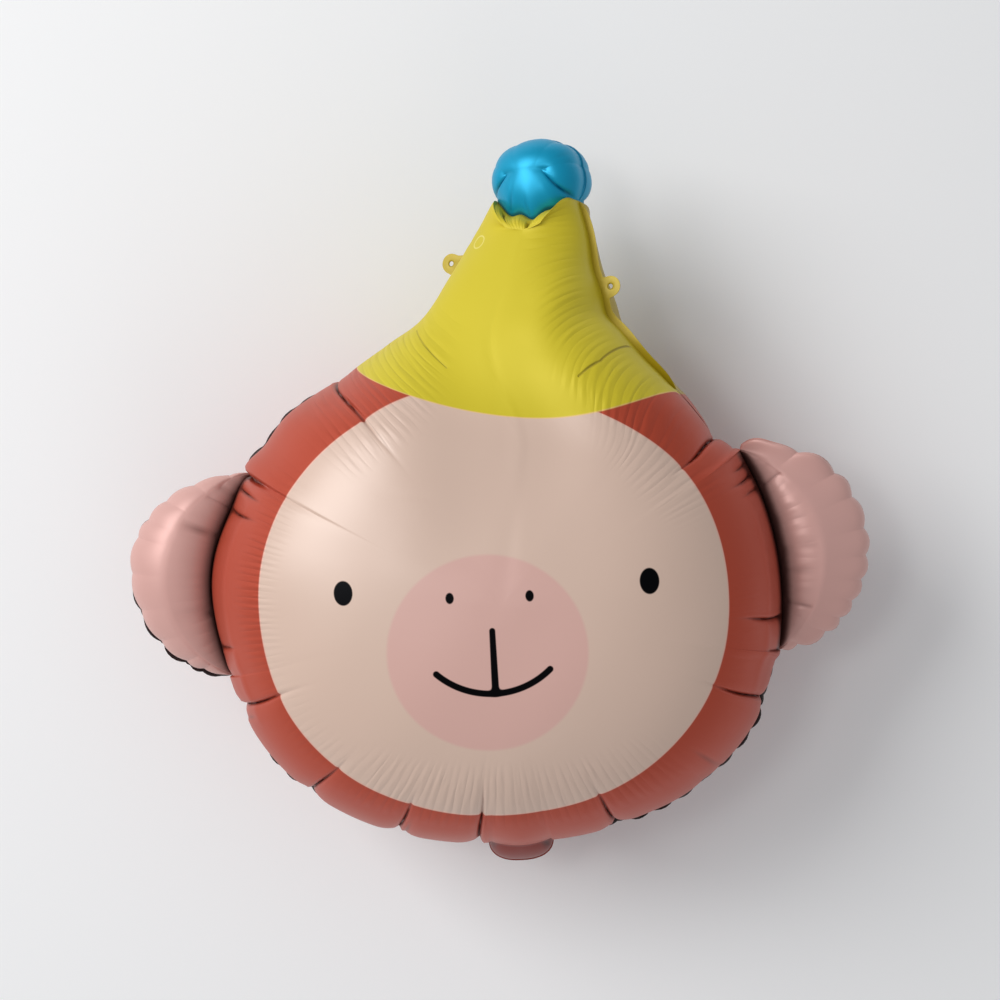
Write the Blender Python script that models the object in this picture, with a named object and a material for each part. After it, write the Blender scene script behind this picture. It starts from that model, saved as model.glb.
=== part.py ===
# Monkey-head foil balloon, lying on its back with its face up.
# Two printed films are welded along one seam: the head, two ears, a leaning party hat with a pompom,
# the filler neck, the weld flange and two punched hang tabs are all one sealed envelope.
# Sizes are millimetres, in the flat frame of the seam: X to the side, Y up the face, Z out of the face.

import math

import bmesh
import bpy
import numpy as np
from mathutils import Matrix, Vector
from mathutils.geometry import delaunay_2d_cdt

MM = 0.001

# Head
HEAD_HALF_WIDTH = 232.0
HEAD_RISE = 221.0
HEAD_DROP = 202.0
HEAD_SQUARENESS_ABOVE = 2.0
HEAD_SQUARENESS_BELOW = 2.25
HEAD_HALF_DEPTH = 134.0
HEAD_FULLNESS = 3.0
REST_FLAT_DEPTH = 2.6

# Ears
EAR_RADIUS = 84.0
EAR_CENTRE_OUT = 221.0
EAR_CENTRE_UP = 29.0
EAR_HALF_DEPTH = 33.0
EAR_RIDGE_SHARE = 0.45
EAR_GROOVE_HALF = 11.0
EAR_RIDGE_TAPER = 0.7
LOBE_FULLNESS = 2.4

# Hat
HAT_JUNCTION_RIGHT = 46.0
HAT_JUNCTION_LEFT = 125.0
HAT_FOOT_HANDLE_RIGHT = 52.0
HAT_FOOT_HANDLE_LEFT = 50.0
HAT_TIP_HANDLE_RIGHT = (10.0, -73.0)
HAT_TIP_HANDLE_LEFT = (-60.0, -90.0)
HAT_TOP_DIP = 17.0
HAT_TOP_GROOVE_HALF = 26.0
HAT_TOP_HALF_DEPTH = 40.0
HAT_FULLNESS = 2.2
HAT_TURN = 26.0
HAT_TURN_FROM = 120.0
HAT_TURN_TO = 222.0
SPINE_TOP = (46.0, 278.0)
SPINE_START_SHARE = 0.25

# Pompom
POMPOM_CENTRE = (48.5, 340.0)
POMPOM_HALF_WIDTH = 39.2
POMPOM_HALF_HEIGHT = 34.4
POMPOM_HALF_DEPTH = 36.0
POMPOM_NOTCH_RIGHT = -33.0
POMPOM_NOTCH_LEFT = 202.0
POMPOM_SHOULDER = 0.88

# Filler neck at the chin, whose angle is where the oval is lowest
CHIN = 270.0
NECK_LEAN = 1.7
NECK_WIDTH = 53.5
NECK_LENGTH = 19.0
NECK_HALF_DEPTH = 16.0
NECK_ROOT_HALF = 22.0
NECK_CORNER = 0.8

# Weld seam, flange and hang tabs
SEAM_THICKNESS = 0.8
FLANGE_WIDTH = 4.5
FLANGE_NOTCH_RUN = 6.5
TAB_RADIUS = 8.5
TAB_ROOT_HALF = 13.0
TAB_REACH_RIGHT = 9.0
TAB_REACH_LEFT = 15.5
TAB_THICKNESS = 1.1
TAB_HOLE = 4.0
TAB_SINK = 3.0
TAB_PLACE_RIGHT = 0.615
TAB_PLACE_LEFT = 0.225

# Where a stretch of outline or valley stands proud of its plain curve: the shares over which this
# fades at its two ends, and bells of millimetres, share along it and spread
PUSHES = {
    "right_valley": ((0.05, 0.05), ((-2.0, 0.5, 0.4),)),
    "left_valley": ((0.04, 0.05), ((9.0, 0.5, 0.36), (3.0, 0.06, 0.1))),
    "temple_left": ((0, 0.03), ((4.2, 0.5, 0.26), (7.5, 0.97, 0.16))),
    "temple_right": ((0.06, 0), ((-8.0, 0.45, 0.5),)),
    "right_flank": ((0, 0.05), ((-2.4, 0.0, 0.08), (2.5, 0.87, 0.1), (-1.5, 0.7, 0.08), (-5.0, 0.5, 0.1))),
    "left_flank": ((0.05, 0), ((-9.5, 0.42, 0.15), (2.5, 0.12, 0.1), (-1.2, 0.92, 0.06))),
    "chin_right": ((0, 0.03), ((-4.0, 0.94, 0.07), (-1.5, 0.3, 0.1))),
}

# Scallops and creases of the gathered seam
SCALLOP_PITCH = 33.0
EAR_SCALLOP_PITCH = 20.0
SCALLOP_DEPTH = 4.6
EAR_SCALLOP_DEPTH = 3.6
CREASE_DEPTH = 5.5
PLEAT_REACH = 34.0
CREASE_REACH = 52.0
CREASES_LOWER_RIGHT = (294.2, 319.5, 336.3)
CREASES_UPPER_RIGHT = (34.1,)
CREASES_LOWER_LEFT = (199.9, 222.5, 243.6, 262.0)
CREASES_AT_RIGHT_EAR = (-6.5,)
CREASES_AT_LEFT_EAR = (159.3, 187.5)
CREASE_ON_RIGHT_FLANK = 0.34
CREASE_ON_LEFT_FLANK = 0.52
END_FADE = 0.08
LEAST_HEIGHT_SHARE = 0.35

# Facets: seam samples for each scallop, and rings from the seam (0) to the spine (1)
SAMPLES = 6
RINGS = ((0.0, 1), (0.018, 1), (0.055, 2), (0.12, 2), (0.21, 3), (0.33, 3), (0.48, 6), (0.66, 6), (0.85, 6))
PLEAT_RING = 0.22
CREASE_RING = 0.4
LEAST_SPACING = 7.5
INNER_SPACING = 15.0
TAB_SIDES = 28


def clear_scene():
    for obj in list(bpy.data.objects):
        bpy.data.objects.remove(obj, do_unlink=True)


def smooth_step(x):
    x = np.clip(x, 0.0, 1.0)
    return x * x * (3.0 - 2.0 * x)


# Outline curves. Each takes a share from 0 to 1 and runs counter-clockwise round the balloon.


def head_point(degrees):
    """A point on the head's oval: a superellipse with a lower half shorter than the upper one."""
    angle = np.radians(degrees)
    half_height = np.where(np.sin(angle) > 0, HEAD_RISE, HEAD_DROP)
    power = np.where(np.sin(angle) > 0, HEAD_SQUARENESS_ABOVE, HEAD_SQUARENESS_BELOW)
    across = np.abs(np.cos(angle) / HEAD_HALF_WIDTH) ** power
    up = np.abs(np.sin(angle) / half_height) ** power
    radius = (across + up) ** (-1.0 / power)
    return np.stack([radius * np.cos(angle), radius * np.sin(angle)], -1)


def head_arc(start, end):
    return lambda share: head_point(start + (end - start) * np.asarray(share, float))


def pushed(curve, name):
    """The curve moved along its outward normal by bells, which fade out before an end at a notch."""
    fades, bells = PUSHES.get(name, ((0, 0), ()))

    def moved(share):
        share = np.asarray(share, float)
        near = np.clip(share, 0.001, 0.999)
        along = curve(near + 0.001) - curve(near - 0.001)
        along /= np.linalg.norm(along, axis=-1, keepdims=True)
        normal = np.stack([along[..., 1], -along[..., 0]], -1)
        amount = 0 * share
        for push, place, spread in bells:
            amount = amount + push * np.exp(-(((share - place) / spread) ** 2))
        for fade, run in zip(fades, (share, 1 - share)):
            amount = amount * smooth_step(run / fade) if fade else amount
        return curve(share) + normal * amount[..., None]

    return moved


def ear_notch(low, high):
    """The angle on the right of the head's oval where the ear's circle crosses it."""
    centre = np.array([EAR_CENTRE_OUT, EAR_CENTRE_UP])
    for _ in range(40):
        middle = (low + high) / 2
        inside = np.hypot(*(head_point(middle) - centre)) < EAR_RADIUS
        low, high = (middle, high) if inside else (low, middle)
    return middle


EAR_TOP = ear_notch(4.0, 80.0)
EAR_BOTTOM = ear_notch(-2.0, -70.0)


def neck_ends():
    """The angles on the head's oval between which the filler neck is open, either side of the chin."""
    half = math.degrees(math.atan(NECK_WIDTH / 2 / HEAD_DROP))
    return CHIN + NECK_LEAN - half, CHIN + NECK_LEAN + half


NECK_FROM, NECK_TO = neck_ends()


def ear_arc(share, side):
    """The ear's rim, from its lower notch to its upper one on the right, mirrored on the left."""
    centre = np.array([EAR_CENTRE_OUT, EAR_CENTRE_UP])
    low = head_point(EAR_BOTTOM) - centre
    high = head_point(EAR_TOP) - centre
    start = math.atan2(low[1], low[0])
    end = math.atan2(high[1], high[0])
    angle = start + (end - start) * np.asarray(share, float)
    x = centre[0] + EAR_RADIUS * np.cos(angle)
    y = centre[1] + EAR_RADIUS * np.sin(angle)
    return np.stack([side * x, y], -1)


def pompom_point(degrees):
    """A point on the pompom's oval, whose upper half has fuller shoulders."""
    angle = np.radians(degrees)
    power = np.where(np.sin(angle) > 0, POMPOM_SHOULDER, 1.0)
    x = POMPOM_CENTRE[0] + POMPOM_HALF_WIDTH * np.sign(np.cos(angle)) * np.abs(np.cos(angle)) ** power
    y = POMPOM_CENTRE[1] + POMPOM_HALF_HEIGHT * np.sign(np.sin(angle)) * np.abs(np.sin(angle)) ** power
    return np.stack([x, y], -1)


def pompom_arc(share):
    sweep = POMPOM_NOTCH_LEFT - POMPOM_NOTCH_RIGHT
    return pompom_point(POMPOM_NOTCH_RIGHT + sweep * np.asarray(share, float))


def hat_flank(foot_angle, foot_handle, tip_angle, tip_handle):
    """A Bezier flank that leaves the head's oval along its tangent and ends at the pompom's notch."""
    foot = head_point(foot_angle)
    along = head_point(foot_angle + 0.5) - head_point(foot_angle - 0.5)
    along = along / np.hypot(*along)
    tip = pompom_point(tip_angle)
    points = (foot, foot + foot_handle * along, tip + np.array(tip_handle), tip)

    def curve(share):
        share = np.asarray(share, float)[..., None]
        rest = 1.0 - share
        weights = (rest**3, 3 * rest**2 * share, 3 * rest * share**2, share**3)
        return sum(weight * point for weight, point in zip(weights, points))

    return curve


PLAIN_RIGHT = hat_flank(HAT_JUNCTION_RIGHT, HAT_FOOT_HANDLE_RIGHT, POMPOM_NOTCH_RIGHT, HAT_TIP_HANDLE_RIGHT)
PLAIN_LEFT = hat_flank(HAT_JUNCTION_LEFT, -HAT_FOOT_HANDLE_LEFT, POMPOM_NOTCH_LEFT, HAT_TIP_HANDLE_LEFT)
RIGHT_FLANK = pushed(PLAIN_RIGHT, "right_flank")
LEFT_FLANK = pushed(lambda share: PLAIN_LEFT(1.0 - np.asarray(share, float)), "left_flank")
TABS = (
    ("right", RIGHT_FLANK, TAB_PLACE_RIGHT, TAB_REACH_RIGHT),
    ("left", LEFT_FLANK, TAB_PLACE_LEFT, TAB_REACH_LEFT),
)


def hat_top(share):
    """The valley between hat and pompom, from the right notch to the left one, dipping in the middle."""
    share = np.asarray(share, float)
    right = pompom_point(POMPOM_NOTCH_RIGHT)
    left = pompom_point(POMPOM_NOTCH_LEFT)
    line = right + (left - right) * share[..., None]
    line[..., 1] -= HAT_TOP_DIP * 4 * share * (1 - share)
    return line


def neck_arc(share):
    """The filler neck's rounded end, from its left root to its right one."""
    share = np.asarray(share, float)
    left = head_point(NECK_FROM)
    right = head_point(NECK_TO)
    angle = math.pi * share
    across = (1 - np.sign(np.cos(angle)) * np.abs(np.cos(angle)) ** NECK_CORNER) / 2
    line = left + (right - left) * across[..., None]
    line[..., 1] -= NECK_LENGTH * np.sin(angle) ** NECK_CORNER
    return line


# Samples along a curve: knots where the seam is pinched, and round scallops between them.


def knots_along(curve, marks, pitch):
    """Shares of the pinches: the curve's ends, the marks, and even steps of about one pitch between."""
    knots = []
    ends = (0.0, *marks, 1.0)
    for start, end in zip(ends, ends[1:]):
        path = curve(np.linspace(start, end, 24))
        length = np.hypot(*np.diff(path, axis=0).T).sum()
        steps = max(1, round(length / pitch))
        knots += [start + (end - start) * step / steps for step in range(steps)]
    return [*knots, 1.0]


def sample_curve(curve, marks=(), pitch=SCALLOP_PITCH, depth=0.0):
    """Arrays along one curve, its last point left out: place, outward normal, bulge and crease."""
    knots = knots_along(curve, marks, pitch)
    steps = np.arange(SAMPLES) / SAMPLES
    share = np.concatenate([a + (b - a) * steps for a, b in zip(knots, knots[1:])])
    phase = np.tile(steps, len(knots) - 1)
    bulge = 4 * phase * (1 - phase)
    near = np.clip(share, 0.001, 0.999)
    along = curve(near + 0.001) - curve(near - 0.001)
    along /= np.hypot(*along.T)[:, None]
    normal = np.stack([along[:, 1], -along[:, 0]], -1)
    crease = np.isin(np.round(share, 6), np.round(marks, 6)) * 1.0
    # The curve's own ends stay put, so that neighbouring curves meet there.
    fade = smooth_step(share / END_FADE) * smooth_step((1 - share) / END_FADE)
    place = curve(share) - normal * (depth * (1 - bulge) * fade)[:, None]
    level = np.tile(np.arange(SAMPLES), len(knots) - 1)
    return {
        "share": share,
        "place": place,
        "normal": normal,
        "bulge": 1 - (1 - bulge) * fade * (depth > 0),
        "crease": crease,
        "level": level,
    }


def valley_profile(share):
    """How the film stays open along a valley between two lobes: closed at both notches."""
    return np.sqrt(np.clip(np.sin(np.pi * share), 0, 1))


def angle_marks(angles, start, end):
    return tuple((angle - start) / (end - start) for angle in angles)


def reversed_arrays(arrays, end_point):
    """The same samples walked the other way, for the lobe on the other side of a valley."""
    place = np.vstack([end_point, arrays["place"][:0:-1]])
    share = 1 - np.append(1.0, arrays["share"][:0:-1])
    level = np.append(0, arrays["level"][:0:-1])
    count = len(place)
    return {
        "share": share,
        "place": place,
        "normal": -arrays["normal"][::-1],
        "bulge": np.ones(count),
        "crease": np.zeros(count),
        "level": level,
    }


def curves():
    """Every stretch of the outline and every valley, sampled once and shared by the lobes they bound."""
    ear_top_left = 180.0 - EAR_TOP
    ear_bottom_left = 180.0 - EAR_BOTTOM
    arcs = {
        "chin_right": (NECK_TO, 360.0 + EAR_BOTTOM, CREASES_LOWER_RIGHT, SCALLOP_DEPTH),
        "right_valley": (EAR_BOTTOM, EAR_TOP, CREASES_AT_RIGHT_EAR, 0.0),
        "temple_right": (EAR_TOP, HAT_JUNCTION_RIGHT, CREASES_UPPER_RIGHT, SCALLOP_DEPTH),
        "temple_left": (HAT_JUNCTION_LEFT, ear_top_left, (), SCALLOP_DEPTH),
        "left_valley": (ear_top_left, ear_bottom_left, CREASES_AT_LEFT_EAR, 0.0),
        "chin_left": (ear_bottom_left, NECK_FROM, CREASES_LOWER_LEFT, SCALLOP_DEPTH),
        "neck_valley": (NECK_FROM, NECK_TO, (), 0.0),
    }
    found = {}
    for name, (start, end, creases, depth) in arcs.items():
        marks = angle_marks(creases, start, end)
        found[name] = sample_curve(pushed(head_arc(start, end), name), marks, SCALLOP_PITCH, depth)
    hat_depth = SCALLOP_DEPTH / 2
    found["right_flank"] = sample_curve(RIGHT_FLANK, (CREASE_ON_RIGHT_FLANK,), SCALLOP_PITCH, hat_depth)
    found["left_flank"] = sample_curve(LEFT_FLANK, (CREASE_ON_LEFT_FLANK,), SCALLOP_PITCH, hat_depth)
    found["hat_top"] = sample_curve(hat_top, (), EAR_SCALLOP_PITCH)
    found["pompom_rim"] = sample_curve(pompom_arc, (), EAR_SCALLOP_PITCH, EAR_SCALLOP_DEPTH / 2)
    ears = {
        "right_ear_rim": lambda share: ear_arc(share, 1),
        "left_ear_rim": lambda share: ear_arc(1 - share, -1),
    }
    for name, curve in ears.items():
        found[name] = sample_curve(curve, (), EAR_SCALLOP_PITCH, EAR_SCALLOP_DEPTH)
    found["neck_rim"] = sample_curve(neck_arc, (), EAR_SCALLOP_PITCH)
    return found


# Lobes: every seam sample runs to its own point on the lobe's spine.


def lobe(parts, spine, depth, fullness, edge):
    """Arrays of one lobe, whose boundary is the given parts in order."""
    arrays = {key: np.concatenate([part[key] for part in parts]) for key in parts[0]}
    arrays.update(spine=spine, depth=depth, fullness=fullness, edge=edge)
    return arrays


def head_lobe(found):
    names = (
        "chin_right",
        "right_valley",
        "temple_right",
        "right_flank",
        "hat_top",
        "left_flank",
        "temple_left",
        "left_valley",
        "chin_left",
        "neck_valley",
    )
    parts = [found[name] for name in names]
    heights = {
        "right_valley": EAR_GROOVE_HALF,
        "left_valley": EAR_GROOVE_HALF,
        "hat_top": HAT_TOP_GROOVE_HALF,
        "neck_valley": NECK_ROOT_HALF,
    }
    edge = [heights.get(name, 0.0) * valley_profile(found[name]["share"]) for name in names]
    place = np.concatenate([part["place"] for part in parts])
    rise = np.clip(place[:, 1] / pompom_point(POMPOM_NOTCH_LEFT)[1], 0, 1)
    along = smooth_step((rise - SPINE_START_SHARE) / (1 - SPINE_START_SHARE))
    on_top = np.concatenate([np.full(len(found[name]["share"]), name == "hat_top") for name in names])
    along = np.where(on_top, 1.0, along)
    spine = along[:, None] * np.array(SPINE_TOP)
    depth = HAT_TOP_HALF_DEPTH + (HEAD_HALF_DEPTH - HAT_TOP_HALF_DEPTH) * (1 - along**1.5)
    fullness = HEAD_FULLNESS + (HAT_FULLNESS - HEAD_FULLNESS) * along
    return lobe(parts, spine, depth, fullness, np.concatenate(edge))


def ear_lobe(found, name, side):
    """An ear's spine is a ridge that follows its valley, nearer to the head than to the rim."""
    rim = found[f"{name}_ear_rim"]
    valley = found[f"{name}_valley"]
    bottom = head_point(EAR_BOTTOM if side > 0 else 180.0 - EAR_BOTTOM)
    top = head_point(EAR_TOP if side > 0 else 180.0 - EAR_TOP)
    back = reversed_arrays(valley, top if side > 0 else bottom)
    start, end = (EAR_BOTTOM, EAR_TOP) if side > 0 else (180.0 - EAR_TOP, 180.0 - EAR_BOTTOM)
    around = np.concatenate([rim["share"], 1 - back["share"]])
    outer = ear_arc(around if side > 0 else 1 - around, side)
    inner = pushed(head_arc(start, end), f"{name}_valley")(around)
    spine = inner + EAR_RIDGE_SHARE * (outer - inner)
    depth = EAR_HALF_DEPTH * np.clip(np.sin(np.pi * around), 0, 1) ** EAR_RIDGE_TAPER
    edge = np.concatenate([0 * rim["share"], EAR_GROOVE_HALF * valley_profile(back["share"])])
    return lobe([rim, back], spine, depth, np.full(len(around), LOBE_FULLNESS), edge)


def round_lobe(rim, valley, end_point, centre, half_depth, edge_half):
    """A lobe that swells towards one centre, such as the pompom or the filler neck."""
    back = reversed_arrays(valley, end_point)
    count = len(rim["share"]) + len(back["share"])
    spine = np.tile(np.asarray(centre, float), (count, 1))
    edge = np.concatenate([0 * rim["share"], edge_half * valley_profile(back["share"])])
    return lobe([rim, back], spine, np.full(count, half_depth), np.full(count, LOBE_FULLNESS), edge)


def lobes(found):
    pompom = round_lobe(
        found["pompom_rim"],
        found["hat_top"],
        pompom_point(POMPOM_NOTCH_LEFT),
        POMPOM_CENTRE,
        POMPOM_HALF_DEPTH,
        HAT_TOP_GROOVE_HALF,
    )
    root = head_arc(NECK_FROM, NECK_TO)(0.5)
    neck = round_lobe(
        found["neck_rim"],
        found["neck_valley"],
        head_point(NECK_TO),
        root - np.array([0.0, NECK_LENGTH * 0.4]),
        NECK_HALF_DEPTH,
        NECK_ROOT_HALF,
    )
    return [head_lobe(found), ear_lobe(found, "right", 1), ear_lobe(found, "left", -1), pompom, neck]


def lobe_points(shape, ring):
    """Places and half thicknesses of one ring of a lobe, with the pleats that run in from the seam."""
    outwards = shape["place"] - shape["spine"]
    length = np.hypot(*outwards.T)
    closeness = 1.0 - ring
    puff = np.sqrt(1.0 - closeness ** shape["fullness"])
    swell = shape["depth"] * puff
    height = np.sqrt((shape["edge"] * closeness) ** 2 + swell**2)
    reach = ring * length
    pleat = SCALLOP_DEPTH * (1 - shape["bulge"]) * np.exp(-reach / PLEAT_REACH) * min(1.0, ring / 0.05)
    fold = CREASE_DEPTH * shape["crease"] * np.exp(-((reach / CREASE_REACH) ** 2)) * min(1.0, ring / 0.03)
    dent = (pleat + fold) * np.clip(shape["depth"] / HEAD_HALF_DEPTH, 0.2, 1.0)
    height = np.maximum(height - dent * puff, LEAST_HEIGHT_SHARE * height)
    place = shape["spine"] + outwards * closeness
    return place, height


# The planar net shared by both films


class Net:
    """Points in the seam's plane with the half thickness over each, kept apart by a least spacing."""

    def __init__(self):
        self.places = []
        self.heights = []

    def find(self, place, within):
        if not self.places:
            return None
        gaps = np.hypot(*(np.array(self.places) - place).T)
        nearest = int(gaps.argmin())
        return nearest if gaps[nearest] < within else None

    def add(self, place, height, spacing):
        found = self.find(place, spacing)
        if found is not None:
            return found if spacing < 0.1 else None
        self.places.append(np.array(place, float))
        self.heights.append(float(height))
        return len(self.places) - 1


def outline_order(found):
    names = (
        "chin_right",
        "right_ear_rim",
        "temple_right",
        "right_flank",
        "pompom_rim",
        "left_flank",
        "temple_left",
        "left_ear_rim",
        "chin_left",
        "neck_rim",
    )
    return [found[name] for name in names]


def build_net(found, shapes):
    """The outline, the valleys and the rings of every lobe, joined by a constrained triangulation."""
    net = Net()
    outline = []
    for part in outline_order(found):
        outline += [net.add(place, 0.0, 0.01) for place in part["place"]]
    edges = []
    for shape in shapes:
        place, height = lobe_points(shape, 0.0)
        rim = [net.add(p, h, 0.01) for p, h in zip(place, height)]
        edges += list(zip(rim, rim[1:] + rim[:1]))
        shape["folds"] = dict(enumerate(rim))
    for ring, step in RINGS[1:]:
        for shape in shapes:
            place, height = lobe_points(shape, ring)
            length = np.hypot(*(shape["place"] - shape["spine"]).T)
            spacing = LEAST_SPACING if step < SAMPLES else INNER_SPACING
            # Pinched samples come first: their folds are kept as edges of the net.
            for i in np.argsort(shape["level"] > 0, kind="stable"):
                if shape["level"][i] % step or ring * length[i] < 1.0:
                    continue
                added = net.add(place[i], height[i], min(spacing, 0.6 * ring * length[i]))
                folded = ring < PLEAT_RING or (ring < CREASE_RING and shape["crease"][i])
                if added is None or shape["level"][i] or not folded:
                    shape["folds"].pop(i, None)
                elif i in shape["folds"]:
                    edges.append((shape["folds"][i], added))
                    shape["folds"][i] = added
    for shape in shapes:
        place, height = lobe_points(shape, 1.0)
        for i in range(len(place)):
            if shape["level"][i] == 0:
                net.add(place[i], height[i], INNER_SPACING * 0.8)
    points = [Vector(place) for place in net.places]
    made = delaunay_2d_cdt(points, edges, [outline], 1, 1e-4)
    kept = []
    for place, sources in zip(made[0], made[3]):
        if sources:
            kept.append(sources[0])
        else:
            # Two edges cross here: the new point takes the height of the nearest one.
            nearest = net.find(np.array(place), math.inf)
            kept.append(net.add(np.array(place), net.heights[nearest], 0.0))
    triangles = [tuple(kept[i] for i in face) for face in made[2]]
    return net, outline, triangles


# Turning the flat frame into the lying balloon


def turn_hat(point):
    """The hat is turned about its own leaning axis, so its right seam faces the front."""
    axis = np.array([*SPINE_TOP, 0.0])
    axis /= np.linalg.norm(axis)
    along = float(np.dot(point, axis))
    share = float(smooth_step((along - HAT_TURN_FROM) / (HAT_TURN_TO - HAT_TURN_FROM)))
    turned = Matrix.Rotation(math.radians(-HAT_TURN) * share, 3, Vector(axis)) @ Vector(point)
    return np.array(turned)


def flange_widths(part):
    """The flange narrows towards the notches, where two stretches of seam meet."""
    place = part["place"]
    steps = np.hypot(*np.diff(place, axis=0).T)
    run = np.concatenate([[0.0], np.cumsum(steps)])
    total = run[-1] + steps[-1]
    nearest = np.minimum(run, total - run)
    return FLANGE_WIDTH * (1 - np.exp(-nearest / FLANGE_NOTCH_RUN))


def envelope_mesh(found, shapes):
    """Front film, back film and the flange round them, as one closed bmesh in millimetres."""
    net, outline, triangles = build_net(found, shapes)
    half_seam = SEAM_THICKNESS / 2
    flat = HEAD_HALF_DEPTH - REST_FLAT_DEPTH
    mesh = bmesh.new()
    front = []
    back = []
    for place, height in zip(net.places, net.heights):
        front.append(mesh.verts.new((*place, half_seam + height)))
        back.append(mesh.verts.new((*place, -half_seam - min(height, flat))))
    for a, b, c in triangles:
        mesh.faces.new((front[a], front[b], front[c]))
        mesh.faces.new((back[c], back[b], back[a]))
    outer = []
    for part in outline_order(found):
        widths = flange_widths(part)
        for place, normal, width in zip(part["place"], part["normal"], widths):
            outer.append(place + normal * width)
    tops = []
    bottoms = []
    for index, place in zip(outline, outer):
        at_notch = np.hypot(*(place - net.places[index])) < 0.01
        tops.append(front[index] if at_notch else mesh.verts.new((*place, half_seam)))
        bottoms.append(back[index] if at_notch else mesh.verts.new((*place, -half_seam)))
    count = len(outline)
    for i in range(count):
        j = (i + 1) % count
        a, b = outline[i], outline[j]
        add_face(mesh, (front[a], tops[i], tops[j], front[b]))
        add_face(mesh, (tops[i], bottoms[i], bottoms[j], tops[j]))
        add_face(mesh, (back[b], bottoms[j], bottoms[i], back[a]))
    return mesh


def add_face(mesh, corners):
    """A face without its repeated corners, or none where fewer than three are left."""
    kept = []
    for corner in corners:
        if corner not in kept:
            kept.append(corner)
    if len(kept) > 2:
        mesh.faces.new(kept)


def mesh_object(name, mesh):
    data = bpy.data.meshes.new(name)
    bmesh.ops.recalc_face_normals(mesh, faces=mesh.faces)
    mesh.to_mesh(data)
    mesh.free()
    obj = bpy.data.objects.new(name, data)
    bpy.context.scene.collection.objects.link(obj)
    return obj


def tab_frame(curve, place, reach):
    """A hang tab's centre, outward direction and root on the hat's seam."""
    root = curve(place)
    along = curve(place + 0.01) - curve(place - 0.01)
    along /= np.hypot(*along)
    normal = np.array([along[1], -along[0]])
    return root + normal * reach, normal, root


def tab_plate(name, curve, place, reach):
    """A plate that narrows from its wide root inside the seam to the tab's round end."""
    centre, normal, root = tab_frame(curve, place, reach)
    side = np.array([-normal[1], normal[0]])
    inside = root - normal * TAB_SINK
    outline = [inside - side * TAB_ROOT_HALF, inside + side * TAB_ROOT_HALF]
    start = math.atan2(side[1], side[0])
    for i in range(TAB_SIDES // 2 + 1):
        angle = start - math.pi * i / (TAB_SIDES // 2)
        outline.append(centre + TAB_RADIUS * np.array([math.cos(angle), math.sin(angle)]))
    mesh = bmesh.new()
    corners = [mesh.verts.new((*point, -TAB_THICKNESS / 2)) for point in outline]
    face = mesh.faces.new(corners)
    made = bmesh.ops.extrude_face_region(mesh, geom=[face])["geom"]
    raised = [v for v in made if isinstance(v, bmesh.types.BMVert)]
    bmesh.ops.translate(mesh, verts=raised, vec=(0, 0, TAB_THICKNESS))
    return mesh_object(name, mesh)


def tab_punch(name, curve, place, reach):
    """The round punched hole of a hang tab, as a cutter."""
    centre, _, _ = tab_frame(curve, place, reach)
    mesh = bmesh.new()
    bmesh.ops.create_cone(
        mesh,
        cap_ends=True,
        segments=TAB_SIDES // 2,
        radius1=TAB_HOLE / 2,
        radius2=TAB_HOLE / 2,
        depth=TAB_THICKNESS * 6,
        matrix=Matrix.Translation((*centre, 0.0)),
    )
    return mesh_object(name, mesh)


def apply_boolean(target, tool, operation):
    modifier = target.modifiers.new(operation, "BOOLEAN")
    modifier.operation = operation
    modifier.solver = "EXACT"
    modifier.object = tool
    depsgraph = bpy.context.evaluated_depsgraph_get()
    result = bpy.data.meshes.new_from_object(target.evaluated_get(depsgraph))
    target.modifiers.clear()
    target.data = result
    bpy.data.objects.remove(tool, do_unlink=True)


def foil_material():
    material = bpy.data.materials.new("printed_film")
    material.use_nodes = True
    shader = material.node_tree.nodes["Principled BSDF"]
    shader.inputs["Base Color"].default_value = (0.56, 0.16, 0.10, 1.0)
    shader.inputs["Roughness"].default_value = 0.3
    shader.inputs["Metallic"].default_value = 0.0
    return material


def place_lying(obj):
    """Turns the hat, scales to metres and sets the origin under the middle of the footprint."""
    points = np.array([turn_hat(np.array(v.co)) for v in obj.data.vertices])
    low = points.min(axis=0)
    high = points.max(axis=0)
    origin = np.array([(low[0] + high[0]) / 2, (low[1] + high[1]) / 2, low[2]])
    for vertex, point in zip(obj.data.vertices, points):
        vertex.co = (point - origin) * MM
    return origin


def report_mounts(origin):
    """Prints where the hang tabs and the rest face lie, for the record."""
    for name, curve, place, reach in TABS:
        centre, normal, _ = tab_frame(curve, place, reach)
        spot = centre + normal * (TAB_RADIUS + TAB_HOLE / 2) / 2
        point = turn_hat(np.array([*spot, TAB_THICKNESS / 2]))
        above = turn_hat(np.array([*spot, TAB_THICKNESS / 2 + 1.0]))
        print(f"{name} tab face", np.round((point - origin) * MM, 5), "axis", np.round(above - point, 5))
    print("head centre in the footprint", np.round(-origin[:2] * MM, 5))


def main():
    clear_scene()
    found = curves()
    envelope = mesh_object("balloon_envelope", envelope_mesh(found, lobes(found)))
    for name, curve, place, reach in TABS:
        apply_boolean(envelope, tab_plate(f"{name}_tab", curve, place, reach), "UNION")
        apply_boolean(envelope, tab_punch(f"{name}_punch", curve, place, reach), "DIFFERENCE")
    origin = place_lying(envelope)
    envelope.data.materials.clear()
    envelope.data.materials.append(foil_material())
    envelope.data.shade_smooth()
    envelope.data.set_sharp_from_angle(angle=math.radians(40))
    report_mounts(origin)
    print("triangles", sum(len(face.vertices) - 2 for face in envelope.data.polygons))


main()
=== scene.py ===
import math

import bpy
import numpy as np
from mathutils import Matrix, Vector


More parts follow.
